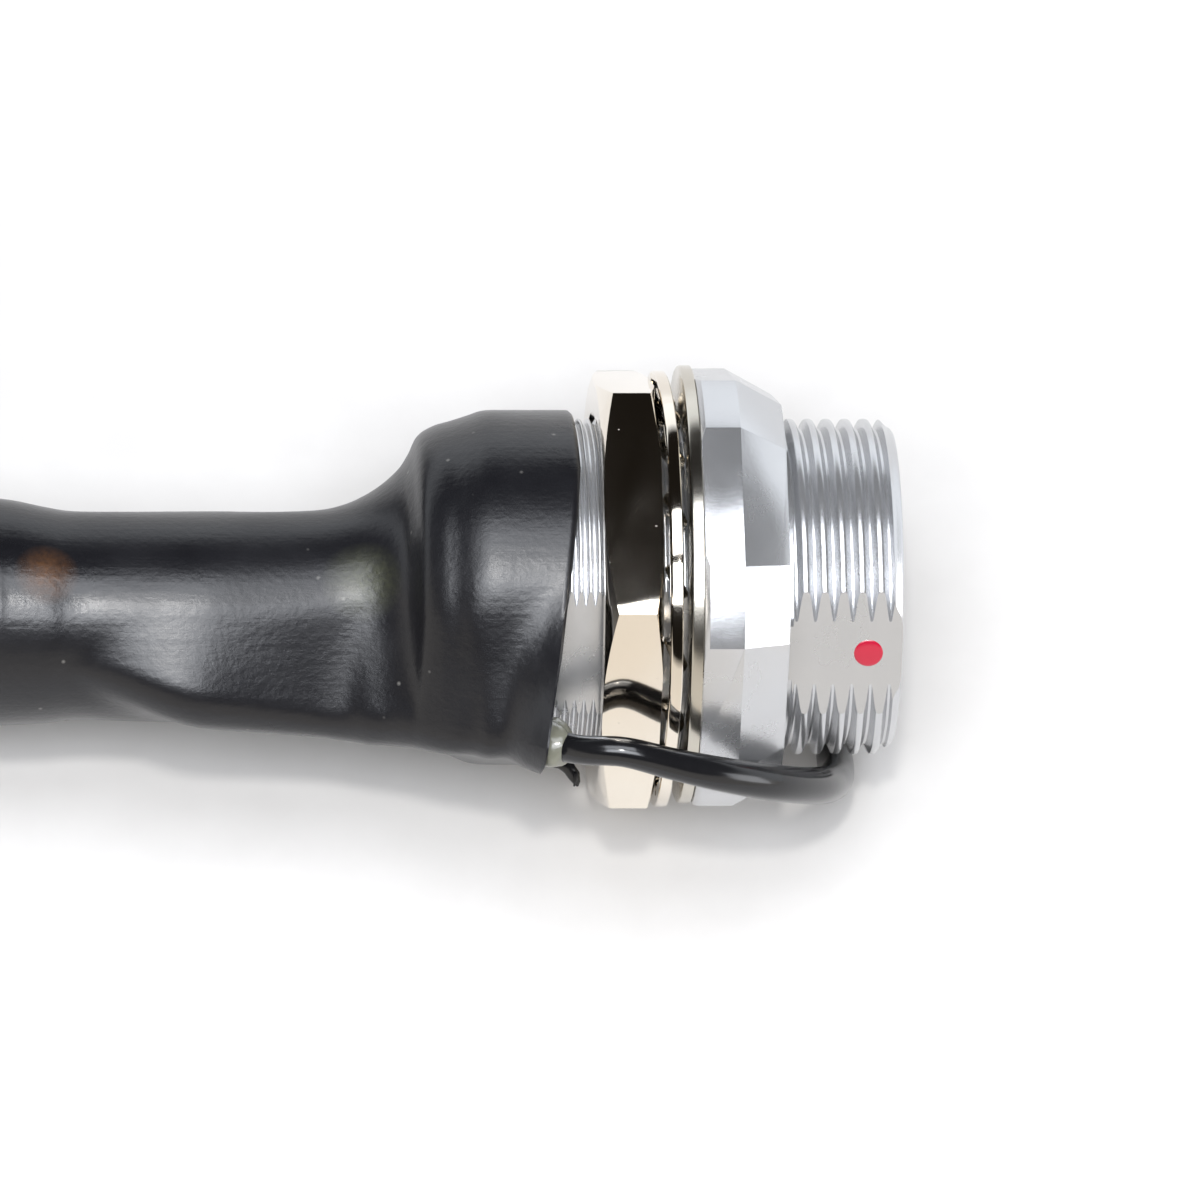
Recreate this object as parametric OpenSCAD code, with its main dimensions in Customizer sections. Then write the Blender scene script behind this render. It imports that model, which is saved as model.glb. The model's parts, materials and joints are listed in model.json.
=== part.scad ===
// Panel connector receptacle on a screened cable, with a shrink sleeve and a tether loop.
// Millimetres. +X is the connector's axis, towards its mating face, and +Z is up.
// The origin is on the axis, at the rear seating face of the hexagonal flange.
// The threads, M18x1 in front and M18x0.5 behind, are plain barrels at their major diameters.

/* [Front barrel] */
// Major diameter of the front thread
front_thread_d = 18; // [17.4:0.1:18.4]
// Distance of the front rim from the flange's rear face
front_rim_x = 10.8; // [10:0.1:11.5]
// Distance from the axis to the milled flat on both threads
thread_flat = 8.25; // [8.1:0.05:8.6]
// Angle of the milled flat, from +Y towards +Z
thread_flat_angle = 140; // [130:1:150]
// Diameter of the index dot
dot_d = 1.6; // [1:0.1:2]

/* [Hexagonal flange] */
// Width across the flange's flats
flange_af = 22.8; // [22:0.1:23.5]
// Diameter of the turned corners
flange_corner_d = 24.2; // [23.6:0.1:24.4]
// Length of the straight rear part of the flange
flange_straight = 2.1; // [1.5:0.1:2.5]
// Whole length of the flange
flange_len = 4.6; // [4.2:0.1:5]

/* [Nut and washers] */
// Major diameter of the rear thread
rear_thread_d = 18; // [17.8:0.1:18]
// Width across the nut's flats
nut_af = 22.2; // [21.8:0.1:22.4]
// Thickness of the nut
nut_t = 3.1; // [2.5:0.1:3.3]
// Outer diameter of the flat washer
washer_d = 23.5; // [22.5:0.1:23.5]
// Thickness of the flat washer
washer_t = 0.7; // [0.4:0.1:0.7]
// Outer diameter of the toothed washer
lock_d = 23.4; // [22.8:0.1:23.4]
// Number of twisted teeth inside the toothed washer
lock_teeth = 16; // [12:1:20]

/* [Cable] */
// Diameter of the cable's jacket
cable_d = 9.8; // [9:0.1:9.8]
// Diameter of the screened core under the sleeve
core_d = 8.6; // [8:0.1:8.6]
// Turns of cable in each layer of the coil
layer_turns = 1.75; // [1.25:0.25:2.25]
// Diameter of the coil at the middle of its turns
coil_mid_d = 100; // [98:1:110]

/* [Tether] */
// Diameter of the tether cord
tether_d = 1.9; // [1.6:0.1:1.9]

/* [Hidden] */
$fn = 72;

eps = 0.01;
fit = 0.05;

// Barrels and bores of the shell, as radii and stations along X
front_r = front_thread_d / 2;
rear_r = rear_thread_d / 2;
rear_step_x = -9.5;
rear_step_r = 8.6;
shell_end_x = -12;
relief_r = 8.4;
relief_w = 0.35;
rear_relief_x = [-0.3, -0.6];
shell_joint = 0.5;
rim_chamfer = 0.4;
socket_mouth_r = 7.4;
socket_r = 7;
socket_floor_x = 0.9;
latch_r = 7.4;
latch_x = [3, 4.6];
web_r = 5.65;
web_x = -2.5;
rear_bore_r = 6.5;
key_w = 1.8;
key_depth = 0.45;
dot_depth = 0.3;
dot_x = 9;

// Flange: distances of the sloping flats and turned corners at the front edge
flange_front_flat = 10.05;
flange_front_corner = 10.6;
flange_rear_chamfer = 0.25;

// Insert
insert_face_x = 4.4;
insert_r = 5.6;
insert_flange_x = -4.2;
insert_end_x = -6;
contact_r = 0.95;
contact_pin_r = 0.65;
contact_circle_r = 3.6;
contact_ring = 7;
contact_end_x = -7.5;
contact_collar_r = 1.25;
cup_depth = 1.6;
pin_depth = 4.5;
pin_mouth_x = 4.2;
ring_end_x = -7.6;
ring_hole_r = 4.9;

// Nut and washers
lock_h = 1.4;
washer_hole_r = rear_r + 0.15;
lock_face_x = -washer_t - lock_h;
nut_front_x = lock_face_x - fit;
nut_rear_x = nut_front_x - nut_t;
nut_corner_r = nut_af / 2 / cos(30) + 0.05;
nut_front_land_r = 11.35;
nut_rear_land_r = 11.15;
nut_chamfer_front = 0.5;
nut_chamfer_rear = 0.65;
thread_lead = 0.35;
lock_rim_r = 10.6;
lock_rim_t = 0.65;
tooth_root = 0.5;
tooth_twist = 25;
tooth_w = 1.9;
tooth_t = 0.65;

// Clamp at the cable end
screen_ring_x = [-8.8, -7.65];
collet_x = [-14.9, -8.85];
collet_flange_t = 0.75;
collet_taper_x = -12.4;
collet_r = 5.2;
collet_tip_r = 4.85;
collet_slots = 6;
clamp_head_x = -13;
clamp_head_r = 7.6;
clamp_tail_x = -15.4;
clamp_tail_r = 5.2;
clamp_thread_x = -9.7;
clamp_bore_r = 5.3;
clamp_flat = 7.1;

// Floor that the connector's washer, the tether and the cable lie on
floor_z = -washer_d / 2;
lay_z = floor_z + cable_d / 2;

// The cable's route from the clamp to the coil, and the rows where one piece gives way to the next
cable_route = [
    [-12.5, 0, 0], [-15.5, 0, 0], [-17.6, -0.6, 0], [-20, -1.2, 0], [-23, -1.53, 0],
    [-30, -1.76, 0], [-37.5, -1.45, -0.15], [-43, -1.1, -0.85], [-49.5, -0.5, -2.1], [-56, 0.1, -3.6],
    [-64, 0.75, -5.4], [-75, 1, lay_z], [-85, 1, lay_z], [-95.2, 1, lay_z]
];
jacket_row = 6;
run_row = 9;

// Shrink sleeve: x, centre y and z, outer radius and wall
sleeve_rows = [
    [-7, -0.05, 0, 9.5, 0.35],
    [-8.4, -0.05, 0, 9.5, 0.35],
    [-9.8, -0.05, 0, 9.5, 0.35],
    [-11.1, -0.06, 0, 9.48, 0.5],
    [-12, -0.15, 0, 9.28, 0.35],
    [-12.9, -0.1, 0, 8.95, 0.45],
    [-13.8, -0.08, 0, 8.66, 0.55],
    [-14.6, -0.08, 0, 8.13, 0.7],
    [-15.1, -0.11, 0, 7.19, 0.75],
    [-15.6, -0.2, 0, 6.5, 0.8],
    [-16.4, -0.38, 0, 5.91, 0.8],
    [-17.4, -0.64, 0, 5.48, 0.8],
    [-18.6, -0.96, 0, 5.24, 0.65],
    [-20, -1.23, 0, 5.2, 0.6],
    [-22.5, -1.5, 0, 5.35, 0.75],
    [-25, -1.69, 0, 5.55, 0.95],
    [-26.3, -1.77, 0, 5.62, 1.02],
    [-28, -1.78, 0, 5.62, 1.03],
    [-30, -1.76, 0, 5.59, 1],
    [-33, -1.72, 0, 5.58, 1],
    [-34.6, -1.68, 0, 5.78, 0.9],
    [-36.5, -1.48, -0.1, 6.02, 0.92],
    [-38.5, -1.4, -0.23, 6.1, 1.05],
    [-47, -0.74, -1.58, 6.1, 1.05],
    [-54, -0.08, -3.13, 6, 0.95]
];
sleeve_sides = 36;
lip_slant = 0.65;
lip_low_angle = 165;
lip_fade = [1, 0.6, 0.2, 0];
tails_end_x = -26.2;
tails_fade = 5;

// The tether's route: near tail under the sleeve, over the nut, under the thread, far tail
tether_route = [
    [-26, -6.8, 1.6], [-20, -7.2, 0.35], [-17.6, -7.5, 0.6], [-15.4, -8, 1.3],
    [-13.6, -8.95, 2], [-12, -9.5, 2.6], [-10.2, -9.85, 3.1], [-8.4, -10.9, 4],
    [-6.4, -12.35, 5.9], [-4.2, -12.95, 6.5], [-1.5, -12.75, 5.25], [1.2, -12.85, 4.1],
    [4, -12.3, 1.8], [6.4, -11.1, -1.9], [7.7, -9.5, -5.7], [8.3, -7.6, -8.9],
    [8.4, -4.7, -10.6], [8.4, -1, -10.8], [8.4, 2.8, -10.8], [7.6, 6.8, -10.8],
    [5.2, 9.7, -10.8], [1.8, 11, -10.75], [-2, 11.3, -10.25], [-5, 11.4, -9],
    [-7.4, 10.4, -7.4], [-9.6, 9.25, -6.15], [-12, 8.3, -5.2], [-13.6, 7.3, -5],
    [-15.4, 6.05, -4.9], [-17.6, 4.6, -4.8], [-20, 3.1, -4.75], [-26, 0.3, -5.1]
];
near_tail = [for (i = [0:8]) tether_route[i]];
far_tail = [for (i = [len(tether_route) - 1:-1:len(tether_route) - 9]) tether_route[i]];
tether_sides = 8;
tether_rings = 2;
tether_fit = 0.1;

// Coil: a spiral in on the floor, a climb of one layer, and a spiral out on top of it
coil_pitch = cable_d + 0.5;
run_end = cable_route[len(cable_route) - 1];
coil_x = run_end.x - cable_d;
coil_start_r = coil_mid_d / 2 + layer_turns * coil_pitch / 2;
coil_y = run_end.y + coil_start_r;
coil_whole = 720 * layer_turns;
open_arc = 262;
sleeved_arc = 37;
lead_arc = 38;
coil_end = coil_whole - open_arc;
jacket_end = coil_end + sleeved_arc;
wires_end = jacket_end + lead_arc;
coil_step = 15;
coil_sides = 6;
climb_half = 90;
tie_at = 180;
tie_t = 0.6;
tie_gap = 0.25;
tie_w = 4;
tie_spread = 50;

// Flying leads
wire_r = 0.7;
wire_circle_r = 2.9;
wire_spacing = 1.55;
wire_slots = [4, 6, 7, 5, 3, 1, 0, 2];
fan_shift = 0.5;
fan_drop = 4.2;
ferrule_r = 0.75;
ferrule_len = 6;
end_sleeve_r = cable_d / 2 + 0.6;

function unit(v) = v / norm(v);
function smooth(t) = t <= 0 ? 0 : t >= 1 ? 1 : t * t * (3 - 2 * t);

// A point on the curve that runs through every row of a list, where t counts rows
function along(rows, t) =
    let (
        last = len(rows) - 1,
        i = min(floor(t), last - 1),
        f = t - i,
        a = rows[max(i - 1, 0)],
        b = rows[i],
        c = rows[i + 1],
        d = rows[min(i + 2, last)]
    )
    b + f * (c - a) / 2 + f * f * (a - 2.5 * b + 2 * c - d / 2)
        + f * f * f * (1.5 * (b - c) + (d - a) / 2);

// Every row of a list, with steps - 1 rows of the curve put in after each
function refine(rows, steps) =
    [for (i = [0:steps * (len(rows) - 1)]) along(rows, i / steps)];

function tangent(p, i) = unit(p[min(i + 1, len(p) - 1)] - p[max(i - 1, 0)]);
function square_to(v, t) = unit(v - (v * t) * t);

// A direction square to the curve at each of its points, carried along without twist
function carried(p, first) = [
    for (i = 0, n = square_to(first, tangent(p, 0)); i < len(p);
        i = i + 1, n = i < len(p) ? square_to(n, tangent(p, i)) : n) n
];

// The triangles of a grid of rings, each of n points: a tube with closed ends
function tube_faces(rings, n) = concat(
    [for (r = [0:rings - 2], k = [0:n - 1])
        each [[r * n + k, (r + 1) * n + k, r * n + (k + 1) % n],
            [r * n + (k + 1) % n, (r + 1) * n + k, (r + 1) * n + (k + 1) % n]]],
    [for (k = [1:n - 2]) [0, k, k + 1]],
    [for (k = [1:n - 2]) [(rings - 1) * n, (rings - 1) * n + k + 1, (rings - 1) * n + k]]
);

// A round tube of n sides swept along a stretch of the points p, from one index to another
module swept_tube(p, r, n, first = [0, 0, -1], from = 0, to = -1) {
    up = carried(p, first);
    last = to < 0 ? len(p) - 1 : to;
    polyhedron(
        [for (i = [from:last], k = [0:n - 1])
            let (side = cross(tangent(p, i), up[i]))
            p[i] + r * (cos(360 * k / n) * up[i] + sin(360 * k / n) * side)],
        tube_faces(last - from + 1, n)
    );
}

// A stretch of the cable's route, as a tube
module cable_stretch(r, from_row, to_row) {
    swept_tube(refine(cable_route, 2), r, 12, from = 2 * from_row, to = 2 * to_row);
}

// Turns what is drawn about Z so that it lies about X
module about_x() {
    rotate([0, 90, 0])
        children();
}

// A turned ring between two stations along X
module ring(x0, x1, r_out, r_in) {
    about_x()
        translate([0, 0, x0])
            difference() {
                cylinder(h = x1 - x0, r = r_out);
                translate([0, 0, -eps])
                    cylinder(h = x1 - x0 + 2 * eps, r = r_in);
            }
}

// A rod along X between two stations, at a place off the axis
module rod(x0, x1, r, y = 0, z = 0) {
    translate([x0, y, z])
        rotate([0, 90, 0])
            cylinder(h = x1 - x0, r = r, $fn = 32);
}

// A solid turned about X from a list of [radius, station along X]
module turned(profile) {
    about_x()
        rotate_extrude()
            polygon(profile);
}

// A block that fills everything beyond a distance from the axis, at an angle from +Y to +Z
module beyond(distance, angle, x0, x1) {
    rotate([angle, 0, 0])
        translate([x0, distance, -20])
            cube([x1 - x0, 20, 40]);
}

// The places of the contacts round the axis, as [y, z]
function contact_places() = concat(
    [[0, 0]],
    [for (k = [0:contact_ring - 1])
        let (a = thread_flat_angle + 360 * (k + 0.5) / contact_ring)
        contact_circle_r * [cos(a), sin(a)]]
);

module hex_sloped_flange() {
    slope = atan((flange_af / 2 - flange_front_flat) / (flange_len - flange_straight));
    difference() {
        turned([
            [0, 0], [flange_corner_d / 2 - flange_rear_chamfer, 0],
            [flange_corner_d / 2, flange_rear_chamfer], [flange_corner_d / 2, flange_straight],
            [flange_front_corner, flange_len], [0, flange_len]
        ]);
        for (a = [30:60:330]) {
            beyond(flange_af / 2, a, -1, flange_len + 1);
            rotate([a, 0, 0])
                translate([flange_straight, flange_af / 2, -20])
                    rotate([0, 0, -slope])
                        translate([-2, 0, 0])
                            cube([10, 10, 40]);
        }
    }
}

module shell_body() {
    turned([
        [0, front_rim_x], [front_r - rim_chamfer, front_rim_x], [front_r, front_rim_x - rim_chamfer],
        [front_r, flange_len + relief_w], [relief_r, flange_len + relief_w],
        [relief_r, flange_len - shell_joint], [0, flange_len - shell_joint]
    ]);
    hex_sloped_flange();
    turned([
        [0, shell_joint], [rear_step_r, shell_joint], [rear_step_r, rear_relief_x[0]],
        [rear_r, rear_relief_x[1]], [rear_r, rear_step_x + 0.3],
        [rear_r - 0.3, rear_step_x], [rear_step_r, rear_step_x],
        [rear_step_r, shell_end_x], [0, shell_end_x]
    ]);
}

module shell() {
    color([0.72, 0.73, 0.74])
        difference() {
            shell_body();
            beyond(thread_flat, thread_flat_angle, flange_len, front_rim_x + 1);
            beyond(thread_flat, thread_flat_angle, shell_end_x - 1, 0);
            turned([
                [0, front_rim_x + 1], [socket_mouth_r, front_rim_x + 1],
                [socket_mouth_r, front_rim_x], [socket_r, front_rim_x - rim_chamfer],
                [socket_r, latch_x[1]], [latch_r, latch_x[1] - 0.3], [latch_r, latch_x[0] + 0.3],
                [socket_r, latch_x[0]], [socket_r, socket_floor_x], [web_r, socket_floor_x],
                [web_r, web_x], [rear_bore_r, web_x], [rear_bore_r, shell_end_x - 1],
                [0, shell_end_x - 1]
            ]);
            rotate([thread_flat_angle, 0, 0])
                translate([latch_x[1] - 0.5, 0, -key_w / 2])
                    cube([front_rim_x, socket_r + key_depth, key_w]);
            rotate([thread_flat_angle, 0, 0])
                translate([dot_x, thread_flat - dot_depth, 0])
                    rotate([-90, 0, 0])
                        cylinder(h = 1, r = dot_d / 2);
        }
}

module index_dot() {
    color([0.78, 0.1, 0.14])
        rotate([thread_flat_angle, 0, 0])
            translate([dot_x, thread_flat - dot_depth, 0])
                rotate([-90, 0, 0])
                    cylinder(h = dot_depth, r = dot_d / 2);
}

module socket_seal() {
    section_r = 0.4;
    color([0.15, 0.15, 0.16])
        about_x()
            translate([0, 0, socket_floor_x + section_r])
                rotate_extrude()
                    translate([insert_r + section_r + 0.02, 0])
                        circle(r = section_r, $fn = 24);
}

module earthing_crown() {
    crown_x = [1.8, 2.9];
    fingers = 12;
    color([0.85, 0.72, 0.4])
        difference() {
            ring(crown_x[0], crown_x[1], socket_r - 0.02, socket_r - 0.42);
            for (k = [0:fingers - 1])
                rotate([360 * k / fingers, 0, 0])
                    translate([crown_x[0] + 0.4, 6, -0.3])
                        cube([2, 2, 0.6]);
        }
}

module front_insulator() {
    color([0.67, 0.55, 0.4])
        difference() {
            turned([
                [0, insert_face_x], [insert_r - 0.3, insert_face_x],
                [insert_r, insert_face_x - 0.3], [insert_r, web_x - fit],
                [rear_bore_r - fit, web_x - fit], [rear_bore_r - fit, insert_flange_x],
                [0, insert_flange_x]
            ]);
            for (p = contact_places()) {
                rod(insert_flange_x - 1, insert_face_x + 1, contact_r, p.x, p.y);
                rod(insert_flange_x - 1, insert_flange_x + 0.8, contact_collar_r, p.x, p.y);
            }
        }
}

module rear_insulator() {
    color([0.67, 0.55, 0.4])
        difference() {
            ring(insert_end_x, insert_flange_x - fit, rear_bore_r - fit, contact_r);
            for (p = contact_places())
                rod(insert_end_x - 1, insert_flange_x + 1, contact_r, p.x, p.y);
        }
}

// One female contact: a drilled sleeve in front, a collar, and a solder cup behind
module contact(y, z) {
    difference() {
        union() {
            rod(contact_end_x, pin_mouth_x, contact_r - 0.02, y, z);
            rod(insert_flange_x, insert_flange_x + 0.7, contact_collar_r - 0.03, y, z);
        }
        rod(pin_mouth_x - pin_depth, pin_mouth_x + 1, contact_pin_r, y, z);
        rod(contact_end_x - 1, contact_end_x + cup_depth, contact_pin_r, y, z);
    }
}

module contacts() {
    color([0.9, 0.75, 0.35])
        for (p = contact_places())
            contact(p.x, p.y);
}

module retaining_ring() {
    color([0.7, 0.71, 0.72])
        difference() {
            ring(ring_end_x, insert_end_x - fit, rear_bore_r - fit, ring_hole_r);
            for (a = [0, 180])
                rotate([a, 0, 0])
                    translate([ring_end_x - 1, ring_hole_r - 1, -0.6])
                        cube([1.6, 3, 1.2]);
        }
}

module flat_washer() {
    color([0.85, 0.83, 0.78])
        ring(-washer_t, 0, washer_d / 2, washer_hole_r);
}

// One twisted tooth, reaching in from the washer's rim past its hole
module lock_tooth() {
    reach = lock_rim_r - washer_hole_r + 2 * tooth_root;
    translate([0, washer_hole_r - tooth_root, 0])
        rotate([0, tooth_twist, 0])
            translate([-tooth_t / 2, 0, -tooth_w / 2])
                cube([tooth_t, reach, tooth_w]);
}

module lock_washer() {
    middle = -washer_t - lock_h / 2;
    color([0.8, 0.78, 0.72])
        intersection() {
            union() {
                ring(middle - lock_rim_t / 2, middle + lock_rim_t / 2, lock_d / 2, lock_rim_r);
                for (k = [0:lock_teeth - 1])
                    translate([middle, 0, 0])
                        rotate([360 * k / lock_teeth, 0, 0])
                            lock_tooth();
            }
            ring(lock_face_x, -washer_t, lock_d / 2, washer_hole_r);
        }
}

module hex_nut() {
    hex_front = nut_front_x - nut_chamfer_front;
    hex_rear = nut_rear_x + nut_chamfer_rear;
    mouth_r = rear_r + 0.4;
    color([0.86, 0.8, 0.7])
        difference() {
            turned([
                [0, nut_front_x], [nut_front_land_r, nut_front_x], [nut_corner_r, hex_front],
                [nut_corner_r, hex_rear], [nut_rear_land_r, nut_rear_x], [0, nut_rear_x]
            ]);
            for (a = [30:60:330])
                beyond(nut_af / 2, a, nut_rear_x - 1, nut_front_x + 1);
            turned([
                [0, nut_front_x + 1], [mouth_r, nut_front_x + 1], [mouth_r, nut_front_x],
                [rear_r + fit, nut_front_x - thread_lead],
                [rear_r + fit, nut_rear_x + thread_lead],
                [mouth_r, nut_rear_x], [mouth_r, nut_rear_x - 1], [0, nut_rear_x - 1]
            ]);
        }
}

module screen_ring() {
    color([0.75, 0.74, 0.72])
        turned([
            [core_d / 2 + 0.3, screen_ring_x[1]], [rear_bore_r - fit, screen_ring_x[1]],
            [rear_bore_r - fit, screen_ring_x[0]], [core_d / 2 + 0.1, screen_ring_x[0]]
        ]);
}

module clamp_collet() {
    color([0.78, 0.76, 0.7])
        difference() {
            turned([
                [core_d / 2 + 0.03, collet_x[1]], [rear_bore_r - fit, collet_x[1]],
                [rear_bore_r - fit, collet_x[1] - collet_flange_t],
                [collet_r, collet_x[1] - collet_flange_t], [collet_r, collet_taper_x],
                [collet_tip_r, collet_x[0]], [core_d / 2 + 0.03, collet_x[0]]
            ]);
            for (k = [0:collet_slots - 1])
                rotate([360 * k / collet_slots, 0, 0])
                    translate([collet_x[0] - 1, 3, -0.3])
                        cube([5.2, 4, 0.6]);
        }
}

module clamp_nut() {
    color([0.75, 0.75, 0.74])
        difference() {
            turned([
                [clamp_bore_r, clamp_thread_x], [rear_bore_r - fit, clamp_thread_x],
                [rear_bore_r - fit, shell_end_x - fit], [clamp_head_r, shell_end_x - fit],
                [clamp_head_r, clamp_head_x], [clamp_tail_r, clamp_tail_x],
                [collet_tip_r + fit, clamp_tail_x], [collet_tip_r + fit, collet_x[0]],
                [clamp_bore_r, collet_taper_x]
            ]);
            for (a = [thread_flat_angle - 90, thread_flat_angle + 90])
                beyond(clamp_flat, a, clamp_tail_x - 1, shell_end_x - fit);
        }
}

// Each conductor runs from its solder cup to its place in the round core
module conductors() {
    insulation_r = 0.75;
    core_circle_r = 2.6;
    color([0.85, 0.85, 0.82])
        for (p = contact_places()) {
            reach = norm(p);
            q = reach > 0 ? p * core_circle_r / reach : p;
            from = [contact_end_x - 0.05, p.x, p.y];
            to = [cable_route[0].x + 0.15, q.x, q.y];
            swept_tube([from, from + [-0.4, 0, 0], to + [0.4, 0, 0], to], insulation_r, 8, [0, 1, 0]);
        }
}

module screened_core() {
    color([0.7, 0.7, 0.68])
        cable_stretch(core_d / 2, 0, jacket_row);
}

module cable_jacket() {
    color([0.1, 0.1, 0.11])
        cable_stretch(cable_d / 2, jacket_row, run_row);
}

// Where a cord tail is at a station: behind its end it sinks into the core's middle
function tail_at(x, tail, core) =
    let (
        f = smooth((x - tails_end_x) / tails_fade + 1),
        place = [lookup(x, [for (p = tail) [p.x, p.y]]), lookup(x, [for (p = tail) [p.x, p.z]])]
    )
    f * place + (1 - f) * core;

// One section of the sleeve: film drawn tight round the core and the two cord tails.
// Each point lies on the round that reaches furthest in its direction, and grow outside it.
function film(row, grow, slant) =
    let (
        core = [row[1], row[2]],
        cord_r = tether_d / 2 + tether_fit,
        middles = [core, tail_at(row.x, near_tail, core), tail_at(row.x, far_tail, core)],
        radii = [row[3] - row[4], cord_r, cord_r]
    )
    [for (k = [0:sleeve_sides - 1])
        let (
            a = 360 * k / sleeve_sides,
            u = [cos(a), sin(a)],
            far = [for (i = [0:2]) middles[i] * u + radii[i]],
            best = far[0] >= max(far[1], far[2]) ? 0 : far[1] >= far[2] ? 1 : 2,
            p = middles[best] + (radii[best] + grow) * u
        )
        [row.x - slant * lip_slant * cos(a - lip_low_angle), p.x, p.y]];

// The shrink sleeve: outer sections from the lip to the tail, then inner ones back again
module shrink_sleeve() {
    n = sleeve_sides;
    outer_rows = refine(sleeve_rows, 2);
    inner_rows = refine(sleeve_rows, 1);
    outer = [for (i = [0:len(outer_rows) - 1])
        let (fade = i < 6 ? along(lip_fade, i / 2) : 0)
        each film(outer_rows[i], outer_rows[i][4], fade)];
    last = len(inner_rows) - 1;
    inner = [for (i = [last:-1:0])
        let (fade = i < 4 ? lip_fade[i] : 0)
        each film(inner_rows[i], 0, fade)];
    rings = len(outer_rows) + len(inner_rows);
    color([0.12, 0.125, 0.13])
        polyhedron(
            concat(outer, inner),
            [for (r = [0:rings - 1], k = [0:n - 1])
                let (q = (r + 1) % rings, m = (k + 1) % n)
                each [[r * n + k, r * n + m, q * n + k], [r * n + m, q * n + m, q * n + k]]]
        );
}

// Hot-melt adhesive in the groove between the barrel's step and the sleeve
module adhesive_lining() {
    color([0.75, 0.7, 0.6])
        difference() {
            ring(rear_step_x - 1.4, rear_step_x - 0.1, rear_step_r + 0.12, rear_step_r);
            beyond(thread_flat, thread_flat_angle, shell_end_x, rear_step_x);
        }
}

// A drop of the same adhesive, pressed out where the cord leaves the sleeve
module adhesive_bead() {
    color([0.85, 0.84, 0.78])
        translate([-7.6, -9.9, 2.6])
            sphere(r = 1, $fn = 32);
}

module tether_loop() {
    color([0.07, 0.07, 0.08])
        swept_tube(refine(tether_route, tether_rings), tether_d / 2, tether_sides, [0, 0, 1]);
}

module cable_run() {
    color([0.1, 0.1, 0.11])
        cable_stretch(cable_d / 2, run_row, len(cable_route) - 1);
}

// A place on the coil: s is the angle wound since the run met it
function coil_point(s) =
    let (
        half = coil_whole / 2,
        in_turns = (half - abs(s - half)) / 360,
        r = coil_start_r - coil_pitch * in_turns,
        a = -90 - s,
        off_tie = abs((s - tie_at + 720) % 360),
        near_tie = min(off_tie, 360 - off_tie),
        lift = (tie_t + tie_gap) * (1 - smooth(near_tie / tie_spread)),
        climb = coil_pitch * smooth((s - half + climb_half) / (2 * climb_half))
    )
    [coil_x + r * cos(a), coil_y + r * sin(a), lay_z + lift + climb];

function coil_heading(s) = unit(coil_point(s + 1) - coil_point(s - 1));

function coil_points(from, to, step) = [
    for (i = [0:ceil((to - from) / step)]) coil_point(min(from + i * step, to))
];

// The least gap between two stretches of a tube that are a quarter turn or more apart
function least_gap(p, apart, d) = min([
    for (i = [0:len(p) - apart - 1], j = [i + apart:len(p) - 1]) norm(p[i] - p[j])
]) - d;

function length_of(p) =
    let (steps = [for (i = [1:len(p) - 1]) norm(p[i] - p[i - 1])])
    steps * [for (s = steps) 1];

module cable_coil() {
    wound = coil_points(0, coil_end, coil_step);
    last = wound[len(wound) - 1];
    echo(coil_least_gap_mm = least_gap(coil_points(0, coil_end, 5), 18, cable_d));
    echo(coil_length_mm = length_of(coil_points(0, coil_end, 5)));
    color([0.1, 0.1, 0.11])
        swept_tube(
            concat([run_end], wound, [last + cable_d * coil_heading(coil_end)]),
            cable_d / 2, coil_sides
        );
}

// A strap drawn round the three turns where it sits
module coil_tie() {
    turns = [for (s = [tie_at, tie_at + 360, tie_at + 720]) coil_point(s)];
    color([0.9, 0.9, 0.88])
        translate([coil_x, 0, 0])
            rotate([90, 0, 90])
                translate([0, 0, -tie_w / 2]) {
                    linear_extrude(tie_w)
                        difference() {
                            hull()
                                for (t = turns)
                                    translate([t.y, t.z])
                                        circle(r = cable_d / 2 + tie_gap + tie_t, $fn = 32);
                            hull()
                                for (t = turns)
                                    translate([t.y, t.z])
                                        circle(r = cable_d / 2 + tie_gap, $fn = 32);
                        }
                    translate([turns[0].y + cable_d / 2 + tie_t - 0.1, turns[0].z - 2, -0.8])
                        cube([3, 4, tie_w + 1.6]);
                }
}

// The sleeved end of the jacket goes on from the coil's straight end
module end_sleeve() {
    heading = coil_heading(coil_end);
    from = coil_point(coil_end) + cable_d * heading;
    color([0.13, 0.13, 0.14])
        swept_tube(
            concat([from, from + 2 * heading], coil_points(coil_end + 18, jacket_end, 6)),
            end_sleeve_r, 12
        );
}

module lead_wires() {
    color([0.85, 0.85, 0.8])
        for (k = [0:len(wire_slots) - 1])
            swept_tube(wire_path(k), wire_r, 6);
}

// A lead starts in the core's circle, and fans out and down on to the turn below
function wire_path(k) =
    let (a = 360 * k / len(wire_slots), slot = wire_slots[k] - (len(wire_slots) - 1) / 2)
    [for (i = [0:6])
        let (
            centre = coil_point(jacket_end + 0.2 + i * (wires_end - jacket_end) / 6),
            out = unit([centre.x - coil_x, centre.y - coil_y, 0]),
            f = smooth(i / 6),
            spread = (1 - f) * wire_circle_r * sin(a) + f * (slot * wire_spacing - fan_shift),
            rise = (1 - f) * wire_circle_r * cos(a) - f * fan_drop
        )
        centre + spread * out + [0, 0, rise]];

module wire_ferrules() {
    color([0.8, 0.8, 0.78])
        for (k = [0:len(wire_slots) - 1]) {
            lead = wire_path(k);
            tip = lead[len(lead) - 1];
            swept_tube([tip, tip + ferrule_len * tangent(lead, len(lead) - 1)], ferrule_r, 8);
        }
}

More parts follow.
